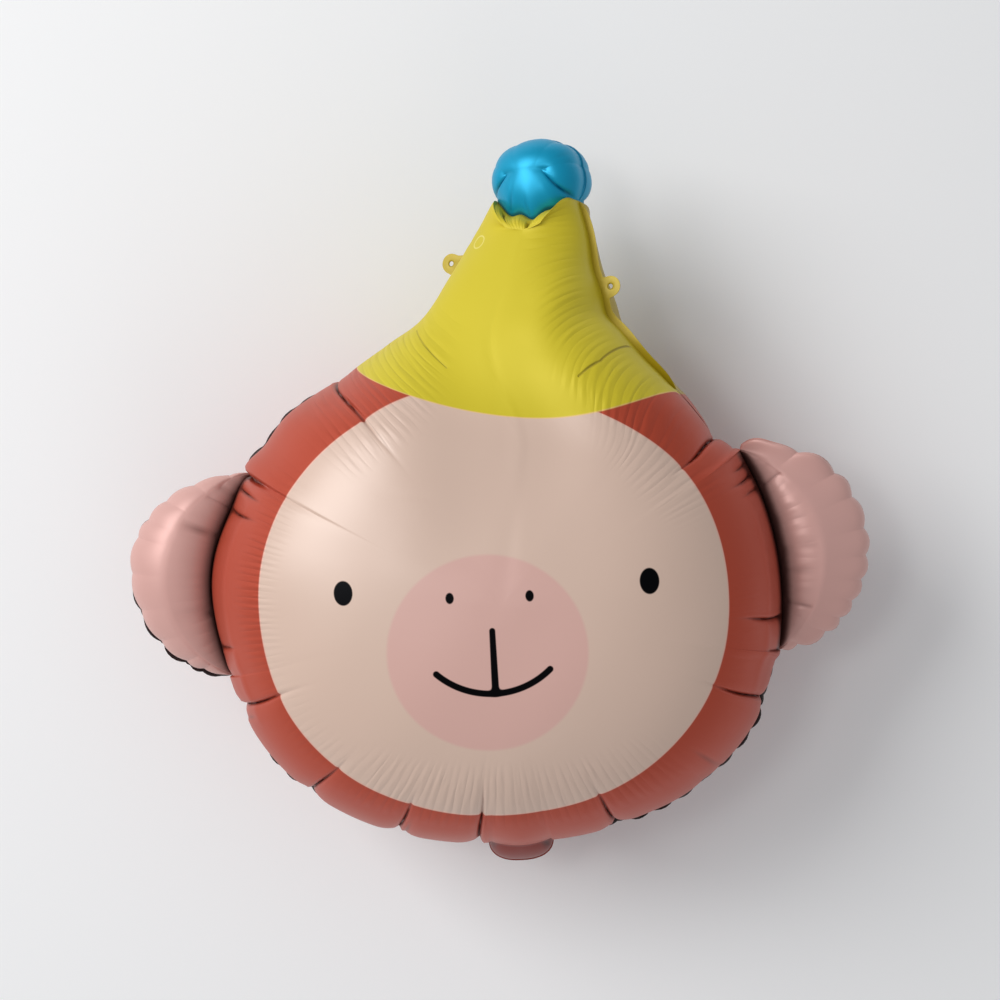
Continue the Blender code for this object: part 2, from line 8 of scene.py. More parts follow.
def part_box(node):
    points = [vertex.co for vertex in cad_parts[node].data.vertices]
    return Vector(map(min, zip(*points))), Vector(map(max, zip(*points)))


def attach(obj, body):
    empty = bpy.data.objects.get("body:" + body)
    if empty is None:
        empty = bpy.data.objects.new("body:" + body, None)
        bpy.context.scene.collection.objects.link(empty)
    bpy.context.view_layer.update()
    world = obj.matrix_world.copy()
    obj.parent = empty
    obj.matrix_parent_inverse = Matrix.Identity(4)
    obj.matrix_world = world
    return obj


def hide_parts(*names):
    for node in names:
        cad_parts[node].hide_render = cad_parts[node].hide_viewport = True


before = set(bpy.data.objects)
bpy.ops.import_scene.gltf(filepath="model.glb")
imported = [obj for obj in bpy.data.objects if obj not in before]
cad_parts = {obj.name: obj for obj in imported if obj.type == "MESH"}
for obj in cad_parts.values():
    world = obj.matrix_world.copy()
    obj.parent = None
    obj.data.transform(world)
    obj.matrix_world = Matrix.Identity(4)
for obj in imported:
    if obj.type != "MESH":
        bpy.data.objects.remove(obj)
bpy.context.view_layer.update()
print("frame loaded")

mm = 0.001  # the shapes below are worked out in millimetres, in the flat frame of the seam

# Values of each part of the envelope

head = {
    "middle": (0.0, -76.8),
    "halfWidth": 232.0,
    "rise": 221.0,
    "drop": 202.0,
    "squareAbove": 2.0,
    "squareBelow": 2.25,
    "halfDepth": 134.0,
    "fullness": 3.0,
    "restFlat": 2.6,
    "rings": 58,
    "backRings": 26,
}
ear = {
    "radius": 84.0,
    "centre": (221.0, 29.0),
    "halfDepth": 33.0,
    "ridgeShares": {"right": 0.45, "left": 0.54},
    "ridgeTaper": 0.7,
    "valleyHalf": 7.0,
    "fullness": {"right": 2.9, "left": 2.0},
    "rimRoll": 0.4,  # share of the height that the film gains close to the seam
    "rings": 26,
    "backRings": 16,
}
hat = {
    "footRight": 46.0,
    "footLeft": 125.0,
    "footHandles": (52.0, 50.0),
    "tipHandles": ((10.0, -73.0), (-60.0, -90.0)),
    "topDip": 17.0,
    "topWave": 2.3,
    "topValleyHalf": 26.0,
    "topHalfDepth": 40.0,
    "fullness": 2.2,
    "turn": 26.0,
    "turnFrom": 120.0,
    "turnTo": 222.0,
    "axis": (46.0, 278.0),
    "spineReach": 1.06,
    "spineFrom": 0.5,
    "spineTo": 0.93,
    "barTo": 0.99,
    "barHalf": 16.0,
    "barRise": 4.0,
    "blend": 42.0,
    "browHalf": 80.0,
    "browFrom": 36.0,
    "browFade": (196.0, 70.0),
    "valleyPower": 0.32,
}
pompom = {
    "centre": (48.5, 340.0),
    "half": (39.2, 34.4),
    "shoulder": 0.88,
    "halfDepth": 36.0,
    "notches": (-33.0, 202.0),
    "spineHalf": 18.0,
    "spineRise": 4.0,
    "fullness": 2.4,
    "rings": 30,
    "backRings": 18,
}
neck = {
    "from": 264.15,
    "to": 279.25,
    "length": 19.0,
    "rootHalf": 36.0,
    "corner": 0.8,
    "columns": 28,
    "rings": 14,
}
seam = {
    "halfThickness": 0.4,
    "pitch": 78.0,
    "earPitch": 28.0,
    "depth": 1.8,
    "foldDepth": 4.8,
    "earDepth": {"rightEarRim": 4.2, "leftEarRim": 2.6},
    "flankDepth": 0.8,
    "reach": 9.0,
    "overhang": 3.0,
    "overhangReach": 14.0,
    "step": 2.5,  # millimetres between samples along the seam
    "crowding": 0.78,  # how much closer the samples stand at a pinch
}
# Where a stretch of outline or valley stands proud of its plain curve: the shares over which this fades
# at its two ends, and bells of millimetres, share along it and spread
pushes = {
    "rightValley": ((0.05, 0.05), ((-2.0, 0.5, 0.4),)),
    "leftValley": ((0.04, 0.05), ((9.0, 0.5, 0.36), (3.0, 0.06, 0.1))),
    "templeLeft": ((0, 0.03), ((4.2, 0.5, 0.26), (7.5, 0.97, 0.16))),
    "templeRight": ((0.06, 0), ((-8.0, 0.45, 0.5),)),
    "rightFlank": ((0, 0.05), ((-2.4, 0.0, 0.08), (2.5, 0.87, 0.1), (-1.5, 0.7, 0.08), (-5.0, 0.5, 0.1))),
    "leftFlank": ((0.05, 0), ((-9.5, 0.42, 0.15), (2.5, 0.12, 0.1), (-1.2, 0.92, 0.06))),
    "chinRight": ((0, 0.03), ((-4.0, 0.94, 0.07), (-1.5, 0.3, 0.1))),
    "rightEarRim": ((0.03, 0.012), ((6.0, 0.955, 0.05), (2.0, 0.75, 0.15), (3.5, 0.12, 0.14))),
    "leftEarRim": ((0.03, 0.03), ((-4.0, 0.12, 0.12), (3.5, 0.46, 0.12), (1.0, 0.93, 0.06))),
}
# Shares along the ears' rims where the scallops meet
earKnots = {
    "rightEarRim": (0.06, 0.152, 0.212, 0.275, 0.345, 0.42, 0.503, 0.605, 0.693, 0.823),
    "leftEarRim": (0.08, 0.19, 0.285, 0.362, 0.422, 0.53, 0.642, 0.753, 0.85, 0.907),
}
flange = {"halfThickness": 0.3, "notchRun": 6.5, "pitch": 21.0, "curl": 24.0}
tab = {
    "radius": 8.5,
    "hole": 2.1,
    "halfThickness": 0.4,
    "sink": 3.0,
    "right": (0.615, 9.0),  # share along the flank, and millimetres that the hole stands out from it
    "left": (0.225, 15.5),
}
columnCounts = {"stem": 26, "bar": 6, "ear": 30, "pompom": 12}  # points that a spine is divided into
# Relief of the film in millimetres: sizes and runs of the folds, the waves and the roll beside the seam
gather = {
    "ringPower": 1.9,  # the rings of a sheet crowd at its rim
    "pushFade": 4,
    "valleyFade": 3.0,
    "rimTurn": 2.5,
    "puffRun": 1.2,
    "waves": (0.4, 18.0),
    "grooveShadeRun": 15.0,
    "wander": (0.7, 9.0, 12.0),
    "fadeIn": 3.0,
    "tail": (1.35, 0.25, 2.6),  # a fold's soft end: times its reach, times its depth, half width
    "narrow": 1.3,
    "dent": (0.34, 9.0),
    "lip": (0.3, 3.2, 1.9),
    "darkFrom": 2.6,  # a fold this deep gets its painted shade at full strength
}
# the weld band's near-black brown, the neck's dark brown and the olive yellow are painted shade
prints = ("front", "back", "ear", "pompom", "neck", "weldPaintedShade", "weldPink", "weldYellowShade", "weldBlue")
slotOf = {name: index for index, name in enumerate(prints)}

# Sharp folds that run in from the seam: place, depth and reach in millimetres
# A place is an angle on the head's oval, or a share of a flank or of the hat's top
folds = {
    "chinRight": ((294.2, 3.2, 40.0), (319.5, 1.2, 30.0), (336.3, 3.4, 46.0)),
    "templeRight": ((34.1, 3.2, 42.0),),
    "chinLeft": (
        (199.9, 3.2, 44.0),
        (202.4, 1.2, 12.0),
        (222.5, 2.6, 40.0),
        (243.2, 2.8, 36.0),
        (244.8, 1.0, 18.0),
        (262.0, 3.0, 50.0),
    ),
    "rightValley": (
        (-6.5, 3.0, 34.0),
        (-13.5, 1.4, 14.0),
        (20.5, 1.6, 16.0),
        (23.5, 2.4, 20.0),
        (26.0, 2.0, 14.0),
    ),
    "leftValley": ((151.5, 2.2, 17.0), (154.8, 2.4, 20.0), (159.3, 2.6, 22.0), (187.5, 2.2, 14.0)),
    "leftFlank": ((0.992, 3.2, 56.0),),
    "hatTop": ((0.43, 2.4, 13.0), (0.8, 2.0, 12.0)),
}
# Fine pleats: curve, share along it, spread, depth, and the distances from the seam where they start and end
pleats = (
    ("chinLeft", 0.84, 105.0, 0.62, 20.0, 86.0),
    ("chinRight", 0.20, 85.0, 0.6, 20.0, 84.0),
    ("leftFlank", 0.9, 56.0, 0.9, 3.0, 84.0),
    ("templeLeft", 0.12, 36.0, 0.5, 34.0, 86.0),
    ("leftFlank", 0.66, 40.0, 0.9, 2.0, 74.0),
    ("leftValley", 0.45, 110.0, 0.75, 24.0, 66.0),
    ("templeLeft", 0.95, 30.0, 0.5, 18.0, 62.0),
    ("chinLeft", 0.30, 70.0, 0.3, 30.0, 74.0),
    ("templeRight", 0.55, 60.0, 0.5, 26.0, 96.0),
    ("rightFlank", 0.1, 46.0, 0.7, 1.0, 70.0),
    ("rightFlank", 0.62, 80.0, 0.7, 1.0, 44.0),
    ("rightValley", 0.12, 50.0, 0.35, 22.0, 64.0),
    ("hatTop", 0.5, 40.0, 0.8, 0.0, 26.0),
)
pleatPitches = {"leftValley": 6.6, "rightValley": 7.2, "rightFlank": 6.4, "leftFlank": 7.4, "hatTop": 5.0}
usualPitch = 8.8
# Sharp folds that the material draws on the hat as a dent with painted shade along it: points in the flat
# frame, half width and strength
drawnFolds = (
    (((126.5, 194.0), (121.3, 186.9), (116.7, 180.9), (107.5, 175.5), (97.5, 169.6)), 0.5, 0.92),
    (((-38.1, 217.0), (-11.4, 183.8)), 0.4, 0.55),
)


def smoothStep(x):
    # 3x^2 - 2x^3 between 0 and 1
    x = np.clip(x, 0.0, 1.0)
    return x * x * (3.0 - 2.0 * x)


# Outline curves of the flat frame, each a function of a share from 0 to 1


def headPoint(degrees):
    # superellipse: (|cos|/a)^p + (|sin|/b)^p = r^-p
    angle = np.radians(degrees)
    above = np.sin(angle) > 0
    half = np.where(above, head["rise"], head["drop"])
    power = np.where(above, head["squareAbove"], head["squareBelow"])
    across = np.abs(np.cos(angle) / head["halfWidth"]) ** power
    up = np.abs(np.sin(angle) / half) ** power
    radius = (across + up) ** (-1.0 / power)
    return np.stack([radius * np.cos(angle), radius * np.sin(angle)], -1)


def headArc(start, end):
    # the part of the head's oval between two angles
    return lambda share: headPoint(start + (end - start) * np.asarray(share, float))


def pushed(curve, name):
    # the curve moved along its outward normal by a sum of bells, which fade out before an end at a notch
    fades, bells = pushes.get(name, ((0, 0), ()))

    def moved(share):
        share = np.asarray(share, float)
        near = np.clip(share, 0.001, 0.999)
        along = curve(near + 0.001) - curve(near - 0.001)
        along /= np.linalg.norm(along, axis=-1, keepdims=True)
        normal = np.stack([along[..., 1], -along[..., 0]], -1)
        amount = 0 * share
        for push, place, spread in bells:
            amount = amount + push * np.exp(-(((share - place) / spread) ** 2))
        for fade, run in zip(fades, (share, 1 - share)):
            amount = amount * smoothStep(run / fade) if fade else amount
        return curve(share) + normal * amount[..., None]

    moved.plain = curve
    return moved


def earNotch(low, high):
    # halves the angle's range until it stands where the ear's circle crosses the head's oval
    for _ in range(40):
        middle = (low + high) / 2
        inside = np.hypot(*(headPoint(middle) - np.array(ear["centre"]))) < ear["radius"]
        low, high = (middle, high) if inside else (low, middle)
    return middle


earTop = earNotch(4.0, 80.0)
earBottom = earNotch(-2.0, -70.0)


def earArc(share, side):
    # circle about the ear's centre from the lower notch to the upper one; side -1 mirrors it
    centre = np.array(ear["centre"])
    low = headPoint(earBottom) - centre
    high = headPoint(earTop) - centre
    start = math.atan2(low[1], low[0])
    end = math.atan2(high[1], high[0])
    angle = start + (end - start) * np.asarray(share, float)
    place = centre + ear["radius"] * np.stack([np.cos(angle), np.sin(angle)], -1)
    return place * np.array([side, 1])


def pompomPoint(degrees):
    # ellipse about the pompom's centre, with fuller shoulders above: cosine and sine to the same power
    angle = np.radians(degrees)
    power = np.where(np.sin(angle) > 0, pompom["shoulder"], 1.0)
    turn = np.stack([np.cos(angle), np.sin(angle)], -1)
    return np.array(pompom["centre"]) + pompom["half"] * np.sign(turn) * np.abs(turn) ** power[..., None]


def pompomArc(share):
    # the ball's rim between its two notches
    start, end = pompom["notches"]
    return pompomPoint(start + (end - start) * np.asarray(share, float))


def bezier(points):
    # cubic: (1-s)^3, 3(1-s)^2 s, 3(1-s) s^2 and s^3 times the four points
    def curve(share):
        share = np.asarray(share, float)[..., None]
        rest = 1.0 - share
        weights = (rest**3, 3 * rest**2 * share, 3 * rest * share**2, share**3)
        return sum(weight * point for weight, point in zip(weights, points))

    return curve


def hatFlank(foot, footHandle, tip, tipHandle):
    # leaves the head's oval along its tangent and ends at the pompom's notch
    root = headPoint(foot)
    along = headPoint(foot + 0.5) - headPoint(foot - 0.5)
    along /= np.hypot(*along)
    end = pompomPoint(tip)
    return bezier((root, root + footHandle * along, end + np.array(tipHandle), end))


plainRight = hatFlank(hat["footRight"], hat["footHandles"][0], pompom["notches"][0], hat["tipHandles"][0])
plainLeft = hatFlank(hat["footLeft"], -hat["footHandles"][1], pompom["notches"][1], hat["tipHandles"][1])
rightFlank = pushed(plainRight, "rightFlank")
leftFlank = pushed(lambda share: plainLeft(1.0 - np.asarray(share, float)), "leftFlank")


def hatTop(share):
    # straight line between the pompom's notches, dipped by a parabola and rippled by a cosine
    share = np.asarray(share, float)
    right, left = (pompomPoint(angle) for angle in pompom["notches"])
    line = right + (left - right) * share[..., None]
    window = 4 * share * (1 - share)
    line[..., 1] += hat["topWave"] * window * np.cos(6 * math.pi * (share - 0.584)) - hat["topDip"] * window
    return line


def neckArc(share):
    # squarish half ellipse hanging from the chin
    angle = math.pi * np.asarray(share, float)
    left = headPoint(neck["from"])
    right = headPoint(neck["to"])
    across = (1 - np.sign(np.cos(angle)) * np.abs(np.cos(angle)) ** neck["corner"]) / 2
    line = left + (right - left) * across[..., None]
    line[..., 1] -= neck["length"] * np.abs(np.sin(angle)) ** neck["corner"]
    return line


# Samples along the curves


def knotsAlong(curve, marks, pitch):
    # the curve's ends, the marked folds, and even steps of about one pitch between them
    knots = []
    ends = (0.0, *marks, 1.0)
    for start, end in zip(ends, ends[1:]):
        path = curve(np.linspace(start, end, 24))
        length = np.hypot(*np.diff(path, axis=0).T).sum()
        steps = max(1, round(length / pitch))
        knots += [start + (end - start) * step / steps for step in range(steps)]
    return [*knots, 1.0]


def sampleCurve(curve, creases=(), pitch=seam["pitch"], depth=0.0, crowding=seam["crowding"], marks=()):
    # samples crowd at the pinches; each pinch draws the seam in by its depth times (1 - distance / run)^2
    strengths = {place: min(1.0, deep / 3.0) for place, deep, _ in creases if place < 0.99 and deep > 1.25}
    knots = knotsAlong(curve, sorted([*strengths, *marks]), pitch)
    deep = [depth + (seam["foldDepth"] - depth) * strengths.get(knot, 0.0) * (depth > 0) for knot in knots]
    deep[0] = deep[-1] = 0.0
    shares = []
    insets = []
    for start, end, first, last in zip(knots, knots[1:], deep, deep[1:]):
        path = curve(np.linspace(start, end, 9))
        length = np.hypot(*np.diff(path, axis=0).T).sum()
        x = np.arange(max(8, math.ceil(length / seam["step"])))
        x = x / len(x)
        x = x - crowding * np.sin(2 * math.pi * x) / (2 * math.pi)
        run = min(20.0, length / 2)
        shares.append(start + (end - start) * x)
        fromStart = np.clip(1 - x * length / run, 0, 1) ** 2
        fromEnd = np.clip(1 - (1 - x) * length / run, 0, 1) ** 2
        insets.append(first * fromStart + last * fromEnd)
    return finishSamples(curve, np.concatenate(shares), np.concatenate(insets), creases)


def finishSamples(curve, share, inset, creases=()):
    # places, outward normals and arc lengths of the samples
    base = curve(share)
    plain = getattr(curve, "plain", curve)
    near = np.clip(share, 0.001, 0.999)
    along = curve(near + 0.001) - curve(near - 0.001)
    along /= np.hypot(*along.T)[:, None]
    closed = np.vstack([base, curve(1.0)])
    arc = np.concatenate([[0.0], np.cumsum(np.hypot(*np.diff(closed, axis=0).T))])
    starts = [float(np.interp(fold[0], share, arc[:-1])) for fold in creases]
    return {
        "share": share,
        "base": base,
        "push": base - plain(share),
        "normal": np.stack([along[:, 1], -along[:, 0]], -1),
        "inset": inset,
        "arc": arc[:-1],
        "length": arc[-1],
        "end": closed[-1],
        "creases": [(start, *fold[1:]) for start, fold in zip(starts, creases)],
    }


def sampleAll():
    # every curve of the outline and every valley, by name
    leftTop, leftBottom = 180.0 - earTop, 180.0 - earBottom
    arcs = {
        "chinRight": (neck["to"], 360.0 + earBottom, seam["depth"]),
        "rightValley": (earBottom, earTop, 0.0),
        "templeRight": (earTop, hat["footRight"], seam["depth"]),
        "templeLeft": (hat["footLeft"], leftTop, seam["depth"]),
        "leftValley": (leftTop, leftBottom, 0.0),
        "chinLeft": (leftBottom, neck["from"], seam["depth"]),
    }
    made = {}
    for name, (start, end, depth) in arcs.items():
        span = end - start
        creases = [((angle - start) / span, deep, reach) for angle, deep, reach in folds.get(name, ())]
        made[name] = sampleCurve(pushed(headArc(start, end), name), creases, seam["pitch"], depth)
    made["rightFlank"] = sampleCurve(rightFlank, (), seam["pitch"], seam["flankDepth"])
    made["leftFlank"] = sampleCurve(leftFlank, folds["leftFlank"], seam["pitch"], seam["flankDepth"])
    made["hatTop"] = sampleCurve(hatTop, folds["hatTop"], 30.0, 0.0, 0.3)
    made["pompomRim"] = sampleCurve(pompomArc, (), seam["earPitch"], seam["depth"])
    for name, side in (("rightEarRim", 1), ("leftEarRim", -1)):
        rim = pushed(lambda share: earArc(share if side > 0 else 1 - share, side), name)
        made[name] = sampleCurve(rim, (), 900.0, seam["earDepth"][name], marks=earKnots[name])
    share = np.arange(neck["columns"]) / neck["columns"]
    made["neckValley"] = finishSamples(headArc(neck["from"], neck["to"]), share, 0 * share)
    made["neckRim"] = finishSamples(neckArc, share, 0 * share)
    return made


def walkedBack(part):
    # the same samples in the other direction, for the lobe on the other side of a valley
    turned = dict(part)
    turned["base"] = np.vstack([part["end"], part["base"][:0:-1]])
    turned["share"] = 1 - np.append(1.0, part["share"][:0:-1])
    turned["arc"] = part["length"] - np.append(part["length"], part["arc"][:0:-1])
    turned["normal"] = -np.vstack([part["normal"][-1], part["normal"][:0:-1]])
    turned["inset"] = np.zeros(len(part["base"]))
    turned["push"] = np.vstack([0 * part["push"][-1], part["push"][:0:-1]])
    turned["creases"] = []
    turned["end"] = part["base"][0]
    return turned


def loopOf(parts, names):
    # the parts' arrays one after another, with arcs, folds and pleats measured along the whole loop
    keys = ("share", "base", "push", "normal", "inset")
    loop = {key: np.concatenate([part[key] for part in parts]) for key in keys}
    starts = np.cumsum([0.0] + [part["length"] for part in parts])
    loop["arc"] = np.concatenate([part["arc"] + start for part, start in zip(parts, starts)])
    loop["length"] = starts[-1]
    loop["creases"] = [
        (fold[0] + start, *fold[1:]) for part, start in zip(parts, starts) for fold in part["creases"]
    ]
    loop["name"] = np.repeat(names, [len(part["base"]) for part in parts])
    loop["starts"] = dict(zip(names, starts))
    loop["lengths"] = dict(zip(names, (part["length"] for part in parts)))
    pitch = np.array([pleatPitches.get(name, usualPitch) for name in loop["name"]])
    steps = np.diff(np.append(loop["arc"], loop["length"]))
    loop["phase"] = np.concatenate([[0.0], np.cumsum(steps / pitch)])
    return loop


def valleyProfile(share, power=0.5):
    # a half sine to the given power
    return np.clip(np.sin(math.pi * share), 0, 1) ** power


# Relief of the gathered film, in millimetres along the surface's normal


def arcGap(loop, place):
    # signed distance along the loop, the short way round
    gap = loop["arc"] - place
    return (gap + loop["length"] / 2) % loop["length"] - loop["length"] / 2


def foldRelief(loop, plan):
    # each fold: a narrow V in a shallow dent with a raised lip, wandering a little and fading inwards, and a
    # line of painted shade along the V
    relief = np.zeros(plan.shape)
    line = np.zeros(plan.shape)
    for index, (place, depth, reach) in enumerate(loop["creases"]):
        swing, wave, run = gather["wander"]
        gap = arcGap(loop, place)[None, :]
        gap = gap + swing * np.sin(plan / wave + 2.1 * index) * smoothStep(plan / run)
        fade = np.exp(-((plan / reach) ** 4)) * smoothStep(plan / gather["fadeIn"])
        longer, shallower, half = gather["tail"]
        tail = np.exp(-((plan / (longer * reach)) ** 4)) * smoothStep(plan / gather["fadeIn"])
        side = 1.0 if index % 2 else -1.0
        narrow = np.exp(-np.abs(gap) / gather["narrow"])
        dent = gather["dent"][0] * np.exp(-((gap / gather["dent"][1]) ** 2))
        height, aside, width = gather["lip"]
        lip = height * np.exp(-(((gap - aside * side) / width) ** 2))
        relief += depth * (fade * (lip - narrow - dent) - shallower * tail * np.exp(-((gap / half) ** 2)))
        # painted shade along the V, darker for deeper folds
        line = np.maximum(line, min(1.0, depth / gather["darkFrom"]) * fade * np.exp(-(gap**2)))
    return relief, line


def pleatStrength(loop, plan):
    # depth of the fine pleats that the material draws: a sum of windows along the loop and inwards
    strength = np.zeros(plan.shape)
    for name, share, spread, depth, start, end in pleats:
        if name in loop["starts"]:
            place = loop["starts"][name] + share * loop["lengths"][name]
            local = np.exp(-((arcGap(loop, place)[None, :] / spread) ** 4))
            window = smoothStep((plan - start) / 10.0) * (1 - smoothStep((plan - end + 24.0) / 24.0))
            strength = np.maximum(strength, depth * local * window)
    return strength


def undulation(flat, amount):
    # long soft waves in the film
    x, y = flat[..., 0], flat[..., 1]
    waves = np.sin(x / 31.0 + 0.7) * np.sin(y / 27.0 - 0.4) + 0.6 * np.sin(x / 17.0 - y / 21.0 + 1.9)
    return amount * waves


# Surfaces


def domeProfile(closeness, fullness):
    # sqrt(1 - c^n), where c is 1 at the seam and 0 on the spine
    return np.sqrt(1.0 - closeness ** fullness[None, :])


def film(loop, spine, depth, edge, side, rings, profile, grooveShade, strength=1.0, ridge=0.0, shaped=None):
    # z = side * (half seam + sqrt((edge * c^k)^2 + (depth * profile)^2)), with c = 1 on the seam and 0 on
    # the spine, and k = 1 at the hat's collar and 3 elsewhere; a push of the outline fades inwards as c^4
    ring = (np.linspace(0.0, 1.0, rings) ** gather["ringPower"])[:, None]
    closeness = 1.0 - ring
    outwards = loop["base"] - spine
    length = np.hypot(*outwards.T)[None, :]
    plan = ring * length
    flat = spine[None] + (outwards - loop["push"])[None] * closeness[..., None]
    flat = flat + loop["push"][None] * closeness[..., None] ** gather["pushFade"]
    tall = depth(flat, length * closeness) * profile(closeness)
    tall = shaped(flat, tall) if shaped else tall
    power = np.where(np.isin(loop["name"], ("hatTop", "pompomRoot")), 1.0, gather["valleyFade"])
    height = np.sqrt((edge * closeness**power) ** 2 + tall**2) + ridge * valleyRidge(plan, loop)
    smooth = np.concatenate([flat, (side * (seam["halfThickness"] + height))[..., None]], -1)
    along = np.roll(smooth, -1, axis=1) - np.roll(smooth, 1, axis=1)
    inwards = np.gradient(smooth, axis=0)
    normal = side * np.cross(along, inwards)
    normal /= np.maximum(np.linalg.norm(normal, axis=-1, keepdims=True), 1e-9)
    seamNormal = np.column_stack([loop["normal"], np.zeros(len(loop["base"]))])
    onRim = (edge < 0.01)[None, :]
    near = np.exp(-plan / gather["rimTurn"])[..., None] * onRim[..., None]
    normal = normal * (1 - near) + seamNormal[None] * near
    foldDepth, line = foldRelief(loop, plan)
    grown = 1 - np.exp(-plan / gather["puffRun"])
    puff = seam["overhang"] * grown * np.exp(-plan / seam["overhangReach"]) * onRim
    relief = foldDepth + puff + undulation(flat, gather["waves"][0]) * smoothStep(plan / gather["waves"][1])
    inner = smoothStep((1 - ring) / 0.12)
    relief = relief * strength * inner - loop["inset"][None, :] * np.exp(-plan / seam["reach"])
    relief *= np.where(onRim, 1.0, smoothStep(plan / gather["fadeIn"]))
    points = smooth + normal * relief[..., None]
    points[0] = smooth[0] - seamNormal * (loop["inset"] * (edge < 0.01))[:, None]
    # painted shade: the film darkens towards each valley, strongest at its floor, with a longer faint tail
    dark = grooveShade[0] * (1 - smoothStep(plan / grooveShade[1][None, :] - 0.4)) * (edge[None, :] > 0.01)
    dark = dark + (1 - dark) * grooveShade[2] * np.exp(-plan / gather["grooveShadeRun"]) * (edge[None, :] > 0.01)
    # the fold attribute holds painted shade: the dark lines of the folds and the darkening beside the valleys
    shade = np.maximum(line * inner * strength, dark)
    return {
        "points": points,
        "flat": np.concatenate([flat, plan[..., None]], -1),
        "fold": shade,
        "pleat": pleatStrength(loop, plan) * inner,
        "phase": loop["phase"],
        "plan": plan,
    }


def valleyRidge(plan, loop):
    # the film beside an ear's valley is pulled into a faint long edge
    beside = smoothStep((np.abs(loop["base"][:, 0]) - 205.0) / 20.0) * (np.abs(loop["base"][:, 1]) < 95.0)
    return np.exp(-np.abs(plan - 16.0) / 3.5) * beside[None, :]


def setSpine(sheet, flat, height, side):
    # the last ring stands on points of the spine that the samples of both sides share
    sheet["points"][-1] = np.column_stack([flat, side * (seam["halfThickness"] + height)])
    sheet["flat"][-1, :, :2] = flat
    return sheet


def headDepth(share):
    # full at the face and shallower up the hat, as 1 - share^1.5
    return hat["topHalfDepth"] + (head["halfDepth"] - hat["topHalfDepth"]) * (1 - share**1.5)


def headSpine(share, across):
    # a stem from the head's middle up the hat, and a bar across its top that bends up at its ends
    stem = share[:, None] * np.array(hat["axis"]) * hat["spineReach"]
    return stem + np.column_stack([hat["barHalf"] * across, hat["barRise"] * across**2])


def headSheet(made, side, rings):
    # the head and the hat are one sheet, whose spine is a stem with a bar at its top
    right = ("chinRight", "rightValley", "templeRight", "rightFlank")
    names = (*right, "hatTop", "leftFlank", "templeLeft", "leftValley", "chinLeft", "neckValley")
    loop = loopOf([made[name] for name in names], names)
    heights = {
        "rightValley": ear["valleyHalf"],
        "leftValley": ear["valleyHalf"],
        "hatTop": hat["topValleyHalf"],
        "neckValley": neck["rootHalf"],
    }
    powers = {"hatTop": hat["valleyPower"]}
    edge = np.concatenate(
        [heights.get(name, 0.0) * valleyProfile(made[name]["share"], powers.get(name, 0.5)) for name in names]
    )
    rise = np.clip(loop["base"][:, 1] / pompomPoint(pompom["notches"][1])[1], 0, 1)
    onTop = loop["name"] == "hatTop"
    share = np.where(onTop, 1.0, smoothStep((rise - hat["spineFrom"]) / (hat["spineTo"] - hat["spineFrom"])))
    hand = (loop["name"] == "rightFlank") * 1.0 - (loop["name"] == "leftFlank")
    across = hand * smoothStep((rise - hat["spineTo"]) / (hat["barTo"] - hat["spineTo"]))
    across = np.where(onTop, np.clip(1.08 * (1 - 2 * loop["share"]), -1, 1), across)
    stem, bar = columnCounts["stem"], columnCounts["bar"]
    share = np.where(np.abs(share - 1) < 0.5 / stem, 1.0, share)
    reach = hat["spineReach"] * np.hypot(*hat["axis"])
    axis = np.array(hat["axis"]) / np.hypot(*hat["axis"])

    def depth(flat, distance):
        # near the spine the depth follows the point itself, so that no edge stands along the spine
        own = headDepth(np.clip(flat @ axis / reach, 0, 1))
        weight = np.exp(-((distance / hat["blend"]) ** 2))
        return headDepth(share)[None, :] * (1 - weight) + own * weight

    def shaped(flat, tall):
        # beside the stem: depth * sqrt(1 - (offset / half width)^n), with the half width square to the stem
        along, offset = flat @ axis, flat @ np.array([axis[1], -axis[0]])
        half = 0 * along
        for hand in (1, -1):
            edgeOffset = hand * (loop["base"] @ np.array([axis[1], -axis[0]]))
            edgeAlong = loop["base"] @ axis
            beside = (edgeOffset > 12.0) & (edgeAlong > -40.0)
            order = np.argsort(edgeAlong[beside])
            width = np.interp(along, edgeAlong[beside][order], edgeOffset[beside][order])
            half = np.where(hand * offset > 0, width, half)
        bulge = head["fullness"] + (hat["fullness"] - head["fullness"]) * smoothStep(along / reach)
        section = 1 - np.clip(np.abs(offset) / np.maximum(half, 1.0), 0, 1) ** bulge
        section = headDepth(np.clip(along / reach, 0, 1)) * np.sqrt(section)
        weight = np.exp(-(np.abs(offset / hat["browHalf"]) ** 3)) * smoothStep(along / hat["browFrom"])
        weight = weight * (1 - smoothStep((along - hat["browFade"][0]) / hat["browFade"][1]))
        return tall * (1 - weight) + section * weight

    fullness = head["fullness"] + (hat["fullness"] - head["fullness"]) * share
    # painted shade beside the valleys: strong at the ears' valleys and widest at the right one, faint at the
    # hat's top, none at the neck
    grooveShadeReach = np.where(loop["name"] == "rightValley", 5.0, np.where(onTop, 2.0, 3.0))
    grooveShadeTone = np.where(onTop, 0.3, np.where(loop["name"] == "neckValley", 0.0, 0.95))
    sheet = film(
        loop,
        headSpine(share, across),
        depth,
        edge,
        side,
        rings,
        lambda closeness: domeProfile(closeness, fullness),
        (grooveShadeTone[None, :], grooveShadeReach, 0.0),
        ridge=2.6,
        shaped=shaped,
    )
    snapped = np.round(share * stem) / stem
    flat = headSpine(snapped, np.round(across * bar) / bar)
    sheet = setSpine(sheet, flat, headDepth(np.clip(flat @ axis / reach, 0, 1)), side)
    if side < 0:
        lowest = -seam["halfThickness"] - head["halfDepth"] + head["restFlat"]
        sheet["points"][..., 2] = np.maximum(sheet["points"][..., 2], lowest)
    return sheet


